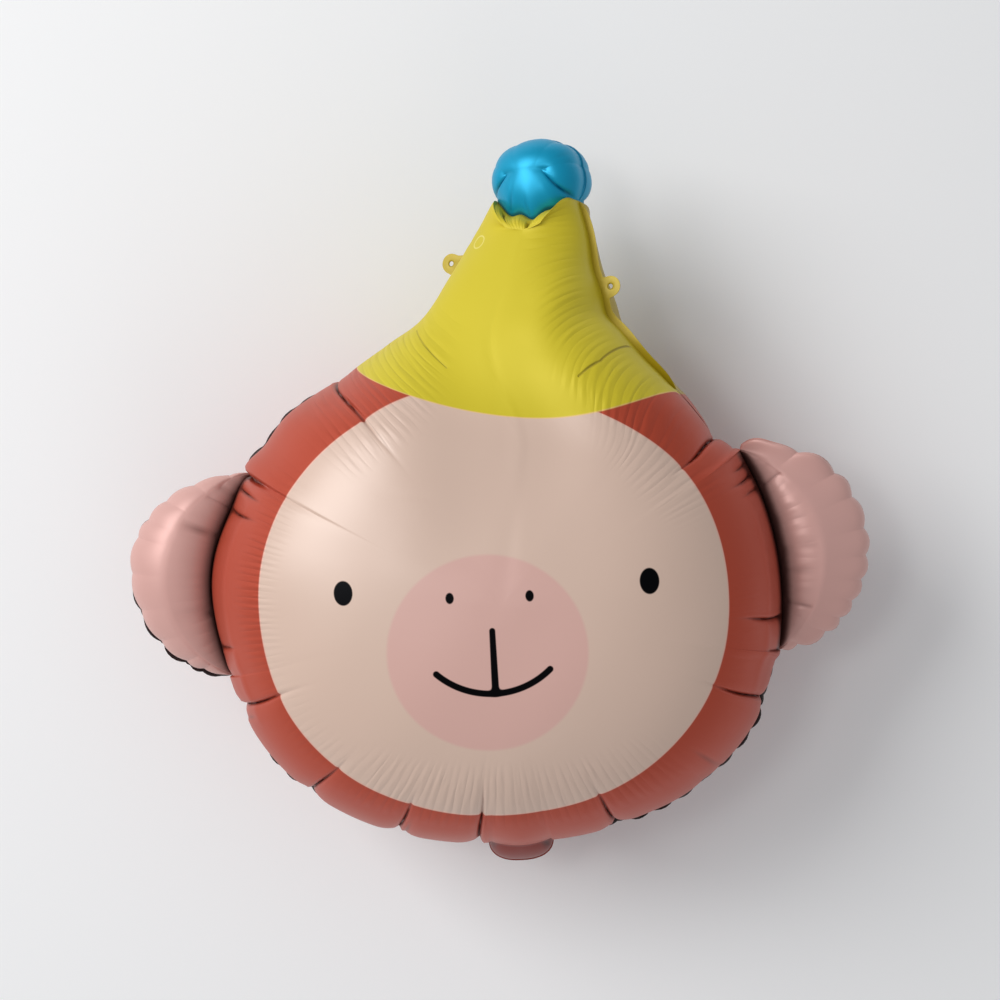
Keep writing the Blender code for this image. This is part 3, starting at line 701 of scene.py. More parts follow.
def earSheet(made, name, side, rings):
    # the ear between its rim and the head's valley, with a ridge as its spine
    hand = 1 if name == "right" else -1
    rim = made[name + "EarRim"]
    back = walkedBack(made[name + "Valley"])
    loop = loopOf([rim, back], ("earRim", "earRoot"))
    around = np.concatenate([rim["share"], 1 - back["share"]])
    start, end = (earBottom, earTop) if hand > 0 else (180.0 - earTop, 180.0 - earBottom)
    ridge = ear["ridgeShares"][name]

    def crest(place):
        # flat place and height of the ear's ridge
        outer = earArc(place if hand > 0 else 1 - place, hand)
        inner = pushed(headArc(start, end), name + "Valley")(place)
        tall = ear["halfDepth"] * np.clip(np.sin(math.pi * place), 0, 1) ** ear["ridgeTaper"]
        return inner + ridge * (outer - inner), tall

    spine, tall = crest(around)
    onRoot = loop["name"] == "earRoot"
    edge = np.where(onRoot, ear["valleyHalf"] * valleyProfile(loop["share"]), 0.0)
    places = (0.2, 0.38, 0.52, 0.62, 0.76) if hand > 0 else (0.3, 0.66, 0.8, 0.86)
    deep = (1.2, 1.6, 2.4, 1.2, 1.6) if hand > 0 else (2.4, 2.4, 1.2, 1.2)
    loop["creases"] = [
        (rim["length"] + share * back["length"], depth, 26.0) for share, depth in zip(places, deep)
    ]

    def profile(closeness):
        # a round roll at the seam and a plane up to the ridge outside, a dome inside
        roll = np.sqrt(1 - closeness**9)
        plane = (1 - closeness) ** 0.9 if hand > 0 else 1 - closeness**1.7
        outside = ear["rimRoll"] * roll + (1 - ear["rimRoll"]) * plane
        inside = domeProfile(closeness, np.full(len(around), ear["fullness"][name]))
        return np.where(onRoot[None, :], inside, outside)

    # painted shade in the valley between ear and head, with a wider faint tail on the left ear
    grooveShade = (0.97, np.full(len(around), 5.4 if hand > 0 else 3.4), 0.1 if hand > 0 else 0.5)
    sheet = film(loop, spine, lambda flat, distance: tall[None, :], edge, side, rings, profile, grooveShade, 0.8)
    count = columnCounts["ear"]
    run = sheet["plan"] / np.maximum(sheet["plan"][-1:], 1.0)
    ends = smoothStep(sheet["plan"] / 8.0) * smoothStep((1 - run) / (0.3 if hand > 0 else 0.6))
    sheet["pleat"] = np.maximum(sheet["pleat"], (0.5 if hand > 0 else 0.35) * onRoot[None, :] * ends)
    return setSpine(sheet, *crest(np.round(around * count) / count), side)


def pompomSheet(made, side, rings):
    # a ball between its rim and the hat's top, with a short ridge as its spine
    rim = made["pompomRim"]
    back = walkedBack(made["hatTop"])
    loop = loopOf([rim, back], ("pompomRim", "pompomRoot"))
    lean = np.clip(0.95 * (loop["base"][:, 0] - pompom["centre"][0]) / pompom["half"][0], -1, 1)
    rooted = hat["topValleyHalf"] * valleyProfile(loop["share"], hat["valleyPower"])
    edge = np.where(loop["name"] == "pompomRoot", rooted, 0.0)

    def crest(place):
        # flat place and height of the short ridge across the ball
        across = pompom["spineHalf"] * place
        flat = np.array(pompom["centre"]) + np.column_stack([across, pompom["spineRise"] + 0 * place])
        return flat, pompom["halfDepth"] * (1 - 0.16 * place**2)

    spine, tall = crest(lean)
    loop["creases"] = [
        (1.0, 3.4, 24.0),
        (rim["length"] - 1.0, 3.6, 26.0),
        (rim["length"] + 0.3 * back["length"], 1.2, 20.0),
        (rim["length"] + 0.55 * back["length"], 1.0, 14.0),
        (0.27 * rim["length"], 0.8, 12.0),
    ]
    fullness = np.full(len(lean), pompom["fullness"])
    # painted shade where the ball meets the hat's top
    grooveShade = (0.7, np.full(len(lean), 2.5), 0.0)

    def profile(closeness):
        return domeProfile(closeness, fullness)

    sheet = film(loop, spine, lambda flat, distance: tall[None, :], edge, side, rings, profile, grooveShade, 0.7)
    count = columnCounts["pompom"]
    return setSpine(sheet, *crest(np.round(lean * count) / count), side)


def neckSheet(made, side, rings):
    # strip from the head's lower edge to the neck's rim: height = edge * (1 - t)^0.6
    root, rim = (np.vstack([made[name]["base"], made[name]["end"]]) for name in ("neckValley", "neckRim"))
    share = np.append(made["neckRim"]["share"], 1.0)
    t = np.sin(np.linspace(0, math.pi / 2, rings))[:, None]
    flat = root[None] * (1 - t[..., None]) + rim[None] * t[..., None]
    edge = neck["rootHalf"] * valleyProfile(share)[None, :]
    dent = 2.4 * np.exp(-(((share - 0.86) / 0.05) ** 2)) + 1.4 * np.exp(-(((share - 0.1) / 0.04) ** 2))
    fold = dent[None, :] * np.sin(math.pi * t**0.7)
    height = seam["halfThickness"] + np.maximum(edge * (1 - t) ** 0.6 - fold * (edge > 4.0), 0.0)
    plan = t * np.hypot(*(rim - root).T)[None, :]
    return {
        "points": np.concatenate([flat, (side * height)[..., None]], -1),
        "flat": np.concatenate([flat, plan[..., None]], -1),
        # painted shade in the neck's two dents
        "fold": np.clip(fold / 3.0, 0, 0.8),
        "pleat": np.zeros(t.shape) + 0 * plan,
        "phase": np.arange(len(share) + 1.0),
        "plan": plan,
    }


def ringSheet(points, flat, slots):
    # a closed band with neither folds nor pleats, and a material slot for each of its columns
    blank = np.zeros(points.shape[:2])
    return {
        "points": points,
        "flat": flat,
        "fold": blank,
        "pleat": blank,
        "phase": np.arange(points.shape[1] + 1.0),
        "plan": blank,
        "slots": slots,
    }


def flangeReach(base, arc, names):
    # how far the weld band stands out: scalloped, and wider where the photograph shows its dark edge
    angle = np.degrees(np.arctan2(base[:, 1], base[:, 0])) % 360
    scallop = np.abs(np.sin(math.pi * arc / flange["pitch"])) ** 0.6
    lower = smoothStep((angle - 286.0) / 8.0)
    upperLeft = np.exp(-(((angle - 139.0) / 13.0) ** 4))
    lowerLeft = np.exp(-(((angle - 220.0) / 14.0) ** 4))
    shown = np.maximum.reduce([0.8 * lower, 0.5 * upperLeft, 0.8 * lowerLeft])
    onHead = 1.6 + (1.2 + 5.4 * scallop) * shown
    earShown = (base[:, 0] < 0) * smoothStep((30.0 - base[:, 1]) / 24.0)
    onEar = 1.4 + 3.6 * earShown * np.abs(np.sin(math.pi * arc / seam["earPitch"])) ** 0.5
    reach = np.where(np.isin(names, ("rightEarRim", "leftEarRim")), onEar, onHead)
    reach = np.where(names == "rightFlank", 5.6, reach)
    reach = np.where(names == "leftFlank", 1.4, reach)
    reach = np.where(names == "templeRight", 0.6, reach)
    return np.where(np.isin(names, ("pompomRim", "neckRim")), 1.6, reach)


def flangeBand(made):
    # a thin band round the outline: eight rows from the front film's rim, out to the edge and back
    right = ("chinRight", "rightEarRim", "templeRight", "rightFlank")
    names = (*right, "pompomRim", "leftFlank", "templeLeft", "leftEarRim", "chinLeft", "neckRim")
    # the weld band's inks: near-black painted shade by default, the neck's darker brown at the right temple
    # and the neck's rim, the painted-shade olive on the flanks, pink at the right ear, blue at the ball
    printed = {
        "rightEarRim": "weldPink",
        "rightFlank": "weldYellowShade",
        "leftFlank": "weldYellowShade",
        "pompomRim": "weldBlue",
        "templeRight": "neck",
        "neckRim": "neck",
    }
    parts = [made[name] for name in names]
    loop = loopOf(parts, names)
    notch = np.concatenate([np.minimum(part["arc"], part["length"] - part["arc"]) for part in parts])
    width = flangeReach(loop["base"], loop["arc"], loop["name"]) * (1 - np.exp(-notch / flange["notchRun"]))
    waver = 0.6 * np.sin(loop["arc"] / 19.0 + 0.8) + 0.4 * np.sin(loop["arc"] / 43.0 + 2.0)
    curl = np.radians(flange["curl"] * (1 + waver)) * (loop["name"] != "rightFlank")
    flatInset = np.column_stack([loop["normal"] * loop["inset"][:, None], 0 * notch])
    root = np.column_stack([loop["base"], 0 * notch]) - flatInset
    out = np.column_stack([loop["normal"], 0 * notch])
    rows = []
    for share, face in ((0.0, 1), (0.35, 1), (0.7, 1), (1.0, 1), (1.0, -1), (0.7, -1), (0.35, -1), (0.0, -1)):
        point = root + out * (width * share * np.cos(curl * share))[:, None]
        half = seam["halfThickness"] + (flange["halfThickness"] - seam["halfThickness"]) * share
        point[:, 2] += face * half - width * share * np.sin(curl * share)
        rows.append(point)
    points = np.array(rows)
    flat = np.broadcast_to(np.column_stack([loop["base"], 0 * notch])[None], points.shape).copy()
    slots = [slotOf[printed.get(name, "weldPaintedShade")] for name in loop["name"]]
    return ringSheet(points, flat, np.array(slots))


def tabPlate(curve, place, reach):
    # punched plate whose outer edge is a circle that spreads into a stem where it meets the seam
    root = curve(place)
    along = curve(place + 0.01) - curve(place - 0.01)
    along /= np.hypot(*along)
    normal = np.array([along[1], -along[0]])
    centre = root + normal * reach
    angle = np.linspace(0, 2 * math.pi, 96, endpoint=False)
    aside = np.abs(angle - math.pi)  # angle from the direction of the seam
    deep = reach + tab["sink"]
    corner = min(1.0, math.acos(min(1.0, deep / (deep + 7.0))))
    stem = deep / np.cos(np.minimum(aside, corner))
    beyond = tab["radius"] + (deep / math.cos(corner) - tab["radius"]) * np.exp(-(aside - corner) / 0.16)
    outer = np.where(aside < corner, stem, beyond)
    direction = np.cos(angle)[:, None] * normal + np.sin(angle)[:, None] * along
    half = tab["halfThickness"]
    rim = tab["hole"] + 1.0 + 0 * outer
    middle = 0.6 * outer + 0.4 * rim
    profile = ((0 * outer + tab["hole"], half), (rim, 1.8 * half), (middle, half), (outer, half))
    rows = []
    for radius, height in (*profile, *[(radius, -height) for radius, height in profile[::-1]], profile[0]):
        flat = centre + direction * radius[:, None]
        rows.append(np.column_stack([flat, np.full(len(angle), height)]))
    points = np.array(rows)
    flat = np.concatenate([points[..., :2], np.zeros(points.shape[:2] + (1,))], -1)
    return ringSheet(points, flat, np.full(len(angle), slotOf["weldYellowShade"]))


def gridTriangles(rows, columns, closed, flip):
    # two triangles for each cell of a grid whose columns may close into a ring
    row = np.arange(rows - 1)[:, None]
    column = np.arange(columns if closed else columns - 1)[None, :]
    after = (column + 1) % columns
    a = row * columns + column
    b = row * columns + after
    c = (row + 1) * columns + after
    d = (row + 1) * columns + column
    triangles = np.concatenate([np.stack(corners, -1).reshape(-1, 3) for corners in ((a, b, c), (a, c, d))])
    first = (column + 0 * row).ravel()
    last = first + 1
    columnsOf = np.concatenate([np.stack([first, last, last], -1), np.stack([first, last, first], -1)])
    return (triangles[:, ::-1], columnsOf[:, ::-1]) if flip else (triangles, columnsOf)


def turnHat(points):
    # rotation about the hat's leaning axis, growing from the brow to the hat's middle (Rodrigues' formula)
    axis = np.array([*hat["axis"], 0.0])
    axis /= np.linalg.norm(axis)
    along = points @ axis
    share = smoothStep((along - hat["turnFrom"]) / (hat["turnTo"] - hat["turnFrom"]))
    angle = np.radians(-hat["turn"]) * share
    cosine, sine = np.cos(angle)[:, None], np.sin(angle)[:, None]
    return points * cosine + np.cross(axis, points) * sine + axis * (along[:, None] * (1 - cosine))


def buildEnvelope(made):
    # every sheet is a grid; the grids are stacked, welded where they meet, and the hat is turned
    # each with its print, whether its columns close into a ring, and whether its triangles are flipped
    sheets = [
        (headSheet(made, 1, head["rings"]), "front", True, False),
        (headSheet(made, -1, head["backRings"]), "back", True, True),
        (pompomSheet(made, 1, pompom["rings"]), "pompom", True, False),
        (pompomSheet(made, -1, pompom["backRings"]), "pompom", True, True),
        (neckSheet(made, 1, neck["rings"]), "neck", False, True),
        (neckSheet(made, -1, neck["rings"]), "neck", False, False),
        (flangeBand(made), "weldPaintedShade", True, True),
        (tabPlate(rightFlank, *tab["right"]), "weldYellowShade", True, True),
        (tabPlate(leftFlank, *tab["left"]), "weldYellowShade", True, True),
    ]
    for name in ("right", "left"):
        sheets.append((earSheet(made, name, 1, ear["rings"]), "ear", True, False))
        sheets.append((earSheet(made, name, -1, ear["backRings"]), "back", True, True))
    stacked = {key: [] for key in ("points", "flat", "fold", "pleat", "triangles", "slots", "corners")}
    count = 0
    for sheet, printName, closed, flip in sheets:
        rows, columns = sheet["points"].shape[:2]
        triangles, columnsOf = gridTriangles(rows, columns, closed, flip)
        plan = sheet["plan"].reshape(-1)[triangles]
        stacked["corners"].append(np.stack([sheet["phase"][columnsOf], plan / 10.0], -1))
        for key, shape in (("points", (-1, 3)), ("flat", (-1, 3)), ("fold", -1), ("pleat", -1)):
            stacked[key].append(sheet[key].reshape(shape))
        stacked["triangles"].append(triangles + count)
        slots = sheet.get("slots", np.full(columns, slotOf[printName]))
        stacked["slots"].append(slots[columnsOf.min(axis=1)])
        count += rows * columns
    whole = {key: np.concatenate(value) for key, value in stacked.items()}
    keys = np.round(whole["points"] / 0.004).astype(np.int64)
    _, kept, inverse = np.unique(keys, axis=0, return_index=True, return_inverse=True)
    triangles = inverse.reshape(-1)[whole["triangles"]]
    a, b, c = triangles.T
    sound = (a != b) & (b != c) & (a != c)
    for key in ("points", "flat", "fold", "pleat"):
        whole[key] = whole[key][kept]
    whole["triangles"] = triangles
    for key in ("triangles", "slots", "corners"):
        whole[key] = whole[key][sound]
    whole["points"] = turnHat(whole["points"])
    return whole


def placeOnSolid(points):
    # the head's middle stands where the solid's does, and the flat spot on the floor
    lowest = np.array(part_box("balloon_envelope")[0])[2]
    shift = np.array([*head["middle"], 0.0]) * mm
    shift[2] = lowest - points[:, 2].min() * mm
    return points * mm + shift, shift


def envelopeObject(made):
    # one mesh, with the film's places, its painted fold and valley shade and its pleats as attributes, and
    # its pleats' UV
    whole = buildEnvelope(made)
    places, shift = placeOnSolid(whole["points"])
    triangles = whole["triangles"]
    mesh = bpy.data.meshes.new("foilBalloon")
    mesh.vertices.add(len(places))
    mesh.vertices.foreach_set("co", places.astype(np.float32).ravel())
    mesh.loops.add(len(triangles) * 3)
    mesh.loops.foreach_set("vertex_index", triangles.astype(np.int32).ravel())
    mesh.polygons.add(len(triangles))
    mesh.polygons.foreach_set("loop_start", np.arange(0, len(triangles) * 3, 3, dtype=np.int32))
    mesh.polygons.foreach_set("material_index", whole["slots"].astype(np.int32))
    film = mesh.attributes.new("film", "FLOAT_VECTOR", "POINT")
    film.data.foreach_set("vector", whole["flat"].astype(np.float32).ravel())
    # fold holds painted shade, pleat the depth of the drawn pleats
    for name in ("fold", "pleat"):
        mesh.attributes.new(name, "FLOAT", "POINT").data.foreach_set("value", whole[name].astype(np.float32))
    mesh.uv_layers.new(name="pleats").data.foreach_set("uv", whole["corners"].astype(np.float32).ravel())
    mesh.update(calc_edges=True)
    mesh.shade_smooth()
    mesh.set_sharp_from_angle(angle=math.radians(75))
    obj = bpy.data.objects.new("foilBalloon", mesh)
    bpy.context.scene.collection.objects.link(obj)
    print("envelope:", len(triangles), "triangles, moved by", np.round(shift / mm, 2))
    return obj, shift


# Shader maths


def operator(operation, turned=False):
    # a method that adds one Math node; turned where the wire stands after the other value
    def apply(wire, *others):
        values = (*others, wire) if turned else (wire, *others)
        return wire.shading.maths(operation, *values)

    return apply


class Wire:
    # a socket that can stand in a sum
    def __init__(self, shading, socket):
        self.shading = shading
        self.socket = socket

    def maths(self, operation, *others):
        return self.shading.maths(operation, self, *others)

    __add__ = operator("ADD")
    __radd__ = operator("ADD", True)
    __sub__ = operator("SUBTRACT")
    __rsub__ = operator("SUBTRACT", True)
    __mul__ = operator("MULTIPLY")
    __rmul__ = operator("MULTIPLY", True)
    __truediv__ = operator("DIVIDE")
    __pow__ = operator("POWER")
    least = operator("MINIMUM")
    most = operator("MAXIMUM")
    size = operator("ABSOLUTE")


class Shading:
    def __init__(self, name):
        self.material = bpy.data.materials.new(name)
        self.material.use_nodes = True
        self.tree = self.material.node_tree
        self.surface = self.tree.nodes["Principled BSDF"]

    def node(self, kind, settings=(), **inputs):
        # settings first, then values or links by the socket's name, with _ for a space
        made = self.tree.nodes.new(kind)
        for key, value in dict(settings).items():
            setattr(made, key, value)
        for key, value in inputs.items():
            self.feed(made.inputs[key.replace("_", " ")], value)
        return made

    def feed(self, socket, value):
        # a wire is linked, and any other value is set
        if isinstance(value, Wire):
            self.tree.links.new(value.socket, socket)
        else:
            socket.default_value = value

    def paint(self, **inputs):
        # values or links of the surface's own sockets, named as in node
        for key, value in inputs.items():
            self.feed(self.surface.inputs[key.replace("_", " ")], value)

    def maths(self, operation, *values):
        # one Math node with the values in its sockets
        made = self.node("ShaderNodeMath", {"operation": operation})
        for socket, value in zip(made.inputs, values):
            self.feed(socket, value)
        return Wire(self, made.outputs[0])

    def mix(self, factor, first, second):
        # first * (1 - factor) + second * factor
        made = self.node("ShaderNodeMix", {"data_type": "RGBA"}, Factor=factor)
        self.feed(made.inputs[6], first)
        self.feed(made.inputs[7], second)
        return Wire(self, made.outputs[2])

    def parts(self, vector):
        # x, y and z
        split = self.node("ShaderNodeSeparateXYZ", Vector=vector)
        return [Wire(self, output) for output in split.outputs]

    def film(self):
        # flat place of the printed film and the distance from its seam, in millimetres
        place = self.node("ShaderNodeAttribute", {"attribute_name": "film"})
        return self.parts(Wire(self, place.outputs["Vector"]))

    def value(self, name):
        # one number that the mesh keeps at each of its points
        return Wire(self, self.node("ShaderNodeAttribute", {"attribute_name": name}).outputs["Fac"])

    def noise(self, vector, scale, detail=2.0, roughness=0.5):
        made = self.node("ShaderNodeTexNoise", Vector=vector, Scale=scale, Detail=detail, Roughness=roughness)
        return Wire(self, made.outputs[0])

    def ownPlace(self):
        # place in metres in the object's own frame
        return Wire(self, self.node("ShaderNodeTexCoord").outputs["Object"])

    def inside(self, distance, softness):
        # 1 where the distance is below zero, with an edge that is softness wide
        return (0.5 - distance / softness).most(0.0).least(1.0)

    def oval(self, x, y, centre, half, power=2.0):
        # distance in millimetres, near enough: ((|x/a|^p + |y/b|^p)^(1/p) - 1) * smaller half axis
        across = ((x - centre[0]) / half[0]).size() ** power
        up = ((y - centre[1]) / half[1]).size() ** power
        return ((across + up) ** (1.0 / power) - 1.0) * min(half)

    def disc(self, x, y, centre, radius):
        # distance to a circle
        return self.oval(x, y, centre, (radius, radius))

    def stroke(self, x, y, start, end, radii):
        # distance to a straight stroke whose half width runs from the first radius to the second
        run = (end[0] - start[0], end[1] - start[1])
        square = run[0] ** 2 + run[1] ** 2
        along = ((x - start[0]) * (run[0] / square) + (y - start[1]) * (run[1] / square)).most(0.0).least(1.0)
        across = x - start[0] - along * run[0]
        up = y - start[1] - along * run[1]
        return (across * across + up * up) ** 0.5 - (radii[0] + along * (radii[1] - radii[0]))

    def hangingArc(self, x, y, centre, radius, halfAngle, halfWidth):
        # distance to an arc that hangs below its centre, with round ends
        across = x - centre[0]
        up = y - centre[1]
        ring = ((across * across + up * up) ** 0.5 - radius).size() - halfWidth
        tip = (radius * math.sin(halfAngle), -radius * math.cos(halfAngle))
        side = across.size() - tip[0]
        end = (side * side + (up - tip[1]) * (up - tip[1])) ** 0.5 - halfWidth
        beyond = (across.size() * math.cos(halfAngle) + up * math.sin(halfAngle)).maths("GREATER_THAN", 0.0)
        return ring * (1 - beyond) + end * beyond


def linear(red, green, blue):
    # an sRGB colour from 0 to 255 in the linear values that a shader takes
    def one(value):
        value = value / 255
        return value / 12.92 if value <= 0.04045 else ((value + 0.055) / 1.055) ** 2.4

    return (one(red), one(green), one(blue), 1.0)


finish = {
    "roughness": 0.4,
    "coat": 0.05,
    "faceCoat": 0.8,
    "coatRoughness": 0.38,
    "specular": 0.5,
    "refraction": 1.44,
    "metallic": {"face": 0.03, "brown": 0.34, "yellow": 0.14, "black": 1.0, "pink": 0.12, "blue": 0.4},
    "mattYellow": 0.14,  # how much rougher the hat's ink is
    "foldShade": 0.9,
    "drawnDepth": 1.4,
    "pleatDepth": 0.95,
    "crumple": 0.16,
    "blotch": 0.12,
}
inks = {
    "brown": linear(190, 76, 50),
    "brownDeep": linear(181, 68, 44),
    "face": linear(218, 188, 170),
    "edge": linear(236, 190, 172),
    "muzzle": linear(218, 167, 158),
    "black": linear(14, 14, 16),
    "yellow": linear(216, 199, 42),
    "yellowDeep": linear(209, 190, 34),
    "blue": linear(0, 164, 204),
    "blueDeep": linear(0, 150, 192),
    "pink": linear(224, 176, 167),
    "pinkDeep": linear(214, 164, 155),
    # painted shade: a darker brown than the head's for the neck's underside, also used on the weld band at
    # the right temple and the neck's rim
    "neck": linear(140, 36, 18),
    "neckShadeDeep": linear(130, 32, 16),
    # painted shade: a near-black brown for the weld band, which stands in for the shade it lies in
    "weldShade": linear(40, 12, 10),
    "weldShadeDeep": linear(30, 9, 8),
    # painted shade: a darker olive yellow for the hat's back, its weld strip and its tabs
    "yellowShade": linear(176, 152, 18),
    "yellowShadeDeep": linear(176, 154, 30),
    "weldBlueDeep": linear(0, 110, 150),
    "ring": linear(244, 236, 150),
    "brimLine": linear(236, 196, 120),
    # painted shade: the colours that each print darkens to along folds, valleys and drawn folds
    "foldShadeBrown": linear(30, 6, 4),
    "foldShadeYellow": linear(120, 96, 10),
    "foldShadeFace": linear(150, 112, 100),
    "foldShadePink": linear(70, 20, 14),
    "foldShadeBlue": linear(0, 40, 60),
}
face = {
    "centre": (-6.0, 1.0),
    "half": (183.0, 167.0),
    "power": 2.1,
    "muzzle": ((-11.3, -34.8), (77.1, 75.5)),
    "eyes": (((-120.0, 15.9), (7.5, 9.6)), ((115.1, 14.4), (7.6, 10.0))),
    "nostrils": (((-38.1, 8.8), (3.2, 4.3)), ((22.9, 7.9), (3.2, 4.3))),
    "philtrum": ((-6.8, -17.5), (-6.5, -64.0)),
    "philtrumHalf": (2.3, 2.8),
    "smile": ((-7.6, -1.6), 64.2, 0.745),
    "smileHalf": 2.5,
    "brim": ((62.0, 440.0), 298.0),
    "mark": ((6.0, 290.0), 5.6),
    "softness": 0.8,  # width of the inks' edges
    "muzzleEdge": 2.4,
    "muzzleStrength": 0.74,
    "ringStrength": 0.6,
}


def finishFilm(shading, colour, foldShadeInk, metallic, drawn=0.0, matt=0.0, coat=finish["coat"]):
    # printed film: soft sheen under a thin clear gloss, sharp folds with painted shade, fine pleats and a
    # faint crumple
    own = shading.ownPlace()
    blotch = shading.noise(own, 9.0, 3.0) * finish["blotch"]
    uvMap = shading.node("ShaderNodeUVMap", {"uv_map": "pleats"})
    phase, plan, _ = shading.parts(Wire(shading, uvMap.outputs[0]))
    drift = shading.node("ShaderNodeCombineXYZ", X=phase * 0.45, Y=plan * 0.16)
    drift = Wire(shading, drift.outputs[0])
    bend = shading.noise(drift, 1.0, 2.0)
    uneven = shading.noise(drift, 2.3, 1.0)
    wave = ((phase + bend * 1.1) * math.pi).maths("SINE").size()
    depth = shading.value("pleat") * (uneven * 1.9 - 0.35).most(0.0)
    crumple = shading.noise(own, 30.0, 4.0, 0.55) * finish["crumple"]
    height = depth * wave * finish["pleatDepth"] + crumple - drawn * finish["drawnDepth"]
    bump = shading.node("ShaderNodeBump", Height=height, Strength=1.0, Distance=mm)
    shading.paint(
        # painted shade: the colour darkens towards the fold ink by the fold attribute and the drawn folds
        Base_Color=shading.mix(shading.value("fold").most(drawn) * finish["foldShade"], colour, foldShadeInk),
        Roughness=blotch + (finish["roughness"] - finish["blotch"] / 2) + matt,
        Metallic=metallic,
        Specular_IOR_Level=finish["specular"],
        IOR=finish["refraction"],
        Coat_Weight=coat,
        Coat_Roughness=finish["coatRoughness"],
        Normal=Wire(shading, bump.outputs[0]),
    )
    return shading.material


def frontPrint():
    # brown head, cream face with muzzle and features, yellow hat above the brim line
    shading = Shading("frontPrint")
    x, y, _ = shading.film()
    tone = shading.noise(shading.ownPlace(), 5.0)
    softness = face["softness"]
    colour = shading.mix(tone, inks["brown"], inks["brownDeep"])
    distance = shading.oval(x, y, face["centre"], face["half"], face["power"])
    inOval = shading.inside(distance, softness)
    colour = shading.mix(shading.inside(distance - 0.9, softness), colour, inks["edge"])
    colour = shading.mix(inOval, colour, inks["face"])
    muzzle = shading.inside(shading.oval(x, y, *face["muzzle"]), face["muzzleEdge"])
    colour = shading.mix(muzzle * face["muzzleStrength"], colour, inks["muzzle"])
    stroke = shading.stroke(x, y, *face["philtrum"], face["philtrumHalf"])
    nearest = stroke.maths("SMOOTH_MIN", shading.hangingArc(x, y, *face["smile"], face["smileHalf"]), 5.0)
    for spot in (*face["eyes"], *face["nostrils"]):
        nearest = nearest.least(shading.oval(x, y, *spot))
    marked = shading.inside(nearest, 0.7)
    colour = shading.mix(marked, colour, inks["black"])
    brim = shading.disc(x, y, *face["brim"])
    onHat = shading.inside(brim, softness)
    yellow = shading.mix(tone, inks["yellow"], inks["yellowDeep"])
    ring = shading.inside(shading.disc(x, y, *face["mark"]).size() - 0.5, softness)
    yellow = shading.mix(ring * face["ringStrength"], yellow, inks["ring"])
    colour = shading.mix(shading.inside(brim - 0.7, softness), colour, inks["brimLine"])
    colour = shading.mix(onHat, colour, yellow)
    foldShadeInk = shading.mix(onHat, inks["foldShadeBrown"], inks["foldShadeYellow"])
    onFace = inOval * shading.inside(-1.0 * brim, softness)
    foldShadeInk = shading.mix(onFace, foldShadeInk, inks["foldShadeFace"])
    shine = finish["metallic"]
    metallic = shine["brown"] + onHat * (shine["yellow"] - shine["brown"])
    metallic = metallic + onFace * (shine["face"] - shine["brown"])
    metallic = metallic + marked * (shine["black"] - shine["face"])
    # drawn folds: painted shade along each stroke, which finishFilm also sinks as a bump
    drawn = 0.0
    for points, half, strength in drawnFolds:
        for start, end in zip(points, points[1:]):
            line = shading.stroke(x, y, start, end, (half, 0.4 * half if end == points[-1] else half))
            drawn = (shading.inside(line, 1.6) * strength).most(drawn)
    matt = shading.inside(brim, 8.0) * finish["mattYellow"]
    coat = onFace * (1 - marked) * finish["faceCoat"] + finish["coat"]
    return finishFilm(shading, colour, foldShadeInk, metallic, drawn, matt, coat)


def backPrint():
    # the back has no face: brown head, and the hat in an olive yellow that is painted shade
    shading = Shading("backPrint")
    x, y, _ = shading.film()
    tone = shading.noise(shading.ownPlace(), 5.0)
    brown = shading.mix(tone, inks["brown"], inks["brownDeep"])
    onHat = shading.inside(shading.disc(x, y, *face["brim"]), face["softness"])
    colour = shading.mix(onHat, brown, inks["yellowShade"])
    return finishFilm(shading, colour, inks["foldShadeBrown"], finish["metallic"]["brown"])


def plainPrint(name, ink, deeper, foldShadeInk, shine):
    # one ink, a little deeper in soft patches
    shading = Shading(name)
    colour = shading.mix(shading.noise(shading.ownPlace(), 7.0), inks[ink], inks[deeper])
    return finishFilm(shading, colour, inks[foldShadeInk], finish["metallic"][shine])


made = sampleAll()
balloon, shift = envelopeObject(made)
# in the order of prints
for material in (
    frontPrint(),
    backPrint(),
    plainPrint("earPrint", "pink", "pinkDeep", "foldShadePink", "pink"),
    plainPrint("pompomPrint", "blue", "blueDeep", "foldShadeBlue", "blue"),
    plainPrint("neckShadePrint", "neck", "neckShadeDeep", "foldShadeBrown", "brown"),
    plainPrint("weldPaintedShade", "weldShade", "weldShadeDeep", "foldShadeBrown", "brown"),
    plainPrint("weldPink", "pink", "pinkDeep", "foldShadeBrown", "pink"),
    plainPrint("weldYellowShade", "yellowShade", "yellowShadeDeep", "foldShadeBrown", "yellow"),
    plainPrint("weldBlue", "blueDeep", "weldBlueDeep", "foldShadeBrown", "blue"),
):
    balloon.data.materials.append(material)
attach(balloon, "root")
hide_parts("balloon_envelope")
print("balloon dressed")

# Floor, light and camera

studio = {
    "floorHalf": 6.0,
    "floorDrop": 0.0005,
    "floorTone": (0.96, 0.96, 0.96, 1.0),
    "floorRoughness": 0.9,
    "floorSpecular": 0.1,
    "world": (0.82, 0.84, 0.87),
    "worldStrength": 0.44,
    "key": ((-2.45, 1.45, 2.5), 2.2, 86.0),
    "window": ((-0.66, 0.28, 2.4), 0.4, 4.5),
    "fill": ((0.6, -2.4, 1.8), 1.8, 7.0),
}
camera = {
    "distance": 1600.0,
    "yaw": 0.84,
    "pitch": 1.17,
    "roll": 2.76,
    "pixelsPerMm": 1.2038,
    "pictureSide": 1000.0,
    "centrePixel": (497.8, 503.0),
    "sensor": 36.0,
}


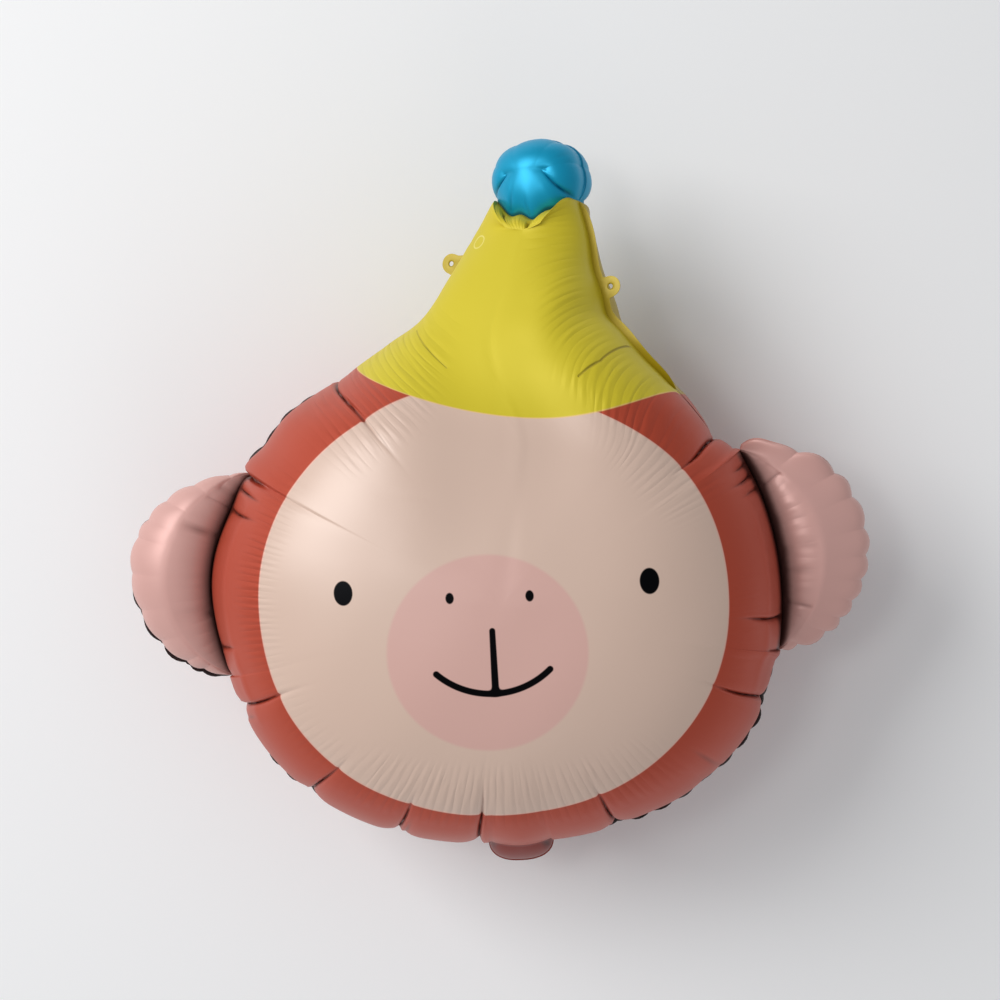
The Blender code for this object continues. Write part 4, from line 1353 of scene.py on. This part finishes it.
def makeFloor():
    # a flat sheet, large enough to fill every view
    half = studio["floorHalf"]
    corners = [(-half, -half, 0.0), (half, -half, 0.0), (half, half, 0.0), (-half, half, 0.0)]
    mesh = bpy.data.meshes.new("studioFloor")
    mesh.from_pydata(corners, [], [(0, 1, 2, 3)])
    floor = bpy.data.objects.new("studioFloor", mesh)
    floor.location.z = -studio["floorDrop"]
    bpy.context.scene.collection.objects.link(floor)
    shading = Shading("studioFloorPaint")
    shading.paint(
        Base_Color=studio["floorTone"],
        Roughness=studio["floorRoughness"],
        Specular_IOR_Level=studio["floorSpecular"],
    )
    floor.data.materials.append(shading.material)


def makeLight(name, place, size, power):
    # a square softbox that looks at the balloon's middle
    data = bpy.data.lights.new(name, "AREA")
    data.size = size
    data.energy = power
    light = bpy.data.objects.new(name, data)
    light.location = place
    light.visible_glossy = name != "fill"
    light.rotation_euler = (Vector((0, 0, 0.1)) - Vector(place)).to_track_quat("-Z", "Y").to_euler()
    bpy.context.scene.collection.objects.link(light)


def makeCamera():
    # yaw and pitch about the floor's axes, then roll about the view axis, aimed through the frame's origin
    yaw, pitch, roll = (math.radians(camera[key]) for key in ("yaw", "pitch", "roll"))
    right = np.array([math.cos(yaw), 0.0, -math.sin(yaw)])
    up = np.array([-math.sin(yaw) * math.sin(pitch), math.cos(pitch), -math.cos(yaw) * math.sin(pitch)])
    back = np.cross(right, up)
    turned = (math.cos(roll) * right - math.sin(roll) * up, math.sin(roll) * right + math.cos(roll) * up)
    scale = camera["pixelsPerMm"]
    middle = camera["pictureSide"] / 2
    sideways = (middle - camera["centrePixel"][0]) / scale
    upwards = (camera["centrePixel"][1] - middle) / scale
    target = np.array([0.0, 0.0, shift[2] / mm])
    place = target + back * camera["distance"] + turned[0] * sideways + turned[1] * upwards
    data = bpy.data.cameras.new("photoCamera")
    data.sensor_width = camera["sensor"]
    data.lens = scale * camera["distance"] / camera["pictureSide"] * data.sensor_width
    eye = bpy.data.objects.new("photoCamera", data)
    matrix = np.eye(4)
    matrix[:3, 0], matrix[:3, 1], matrix[:3, 2], matrix[:3, 3] = turned[0], turned[1], back, place * mm
    eye.matrix_world = Matrix(matrix.tolist())
    bpy.context.scene.collection.objects.link(eye)
    bpy.context.scene.camera = eye


makeFloor()
for name in ("key", "window", "fill"):
    makeLight(name, *studio[name])
world = bpy.data.worlds.new("studioWorld")
bpy.context.scene.world = world
world.use_nodes = True
world.node_tree.nodes["Background"].inputs[0].default_value = (*studio["world"], 1.0)
world.node_tree.nodes["Background"].inputs[1].default_value = studio["worldStrength"]
makeCamera()
bpy.context.scene.view_settings.view_transform = "Standard"
print("studio ready")
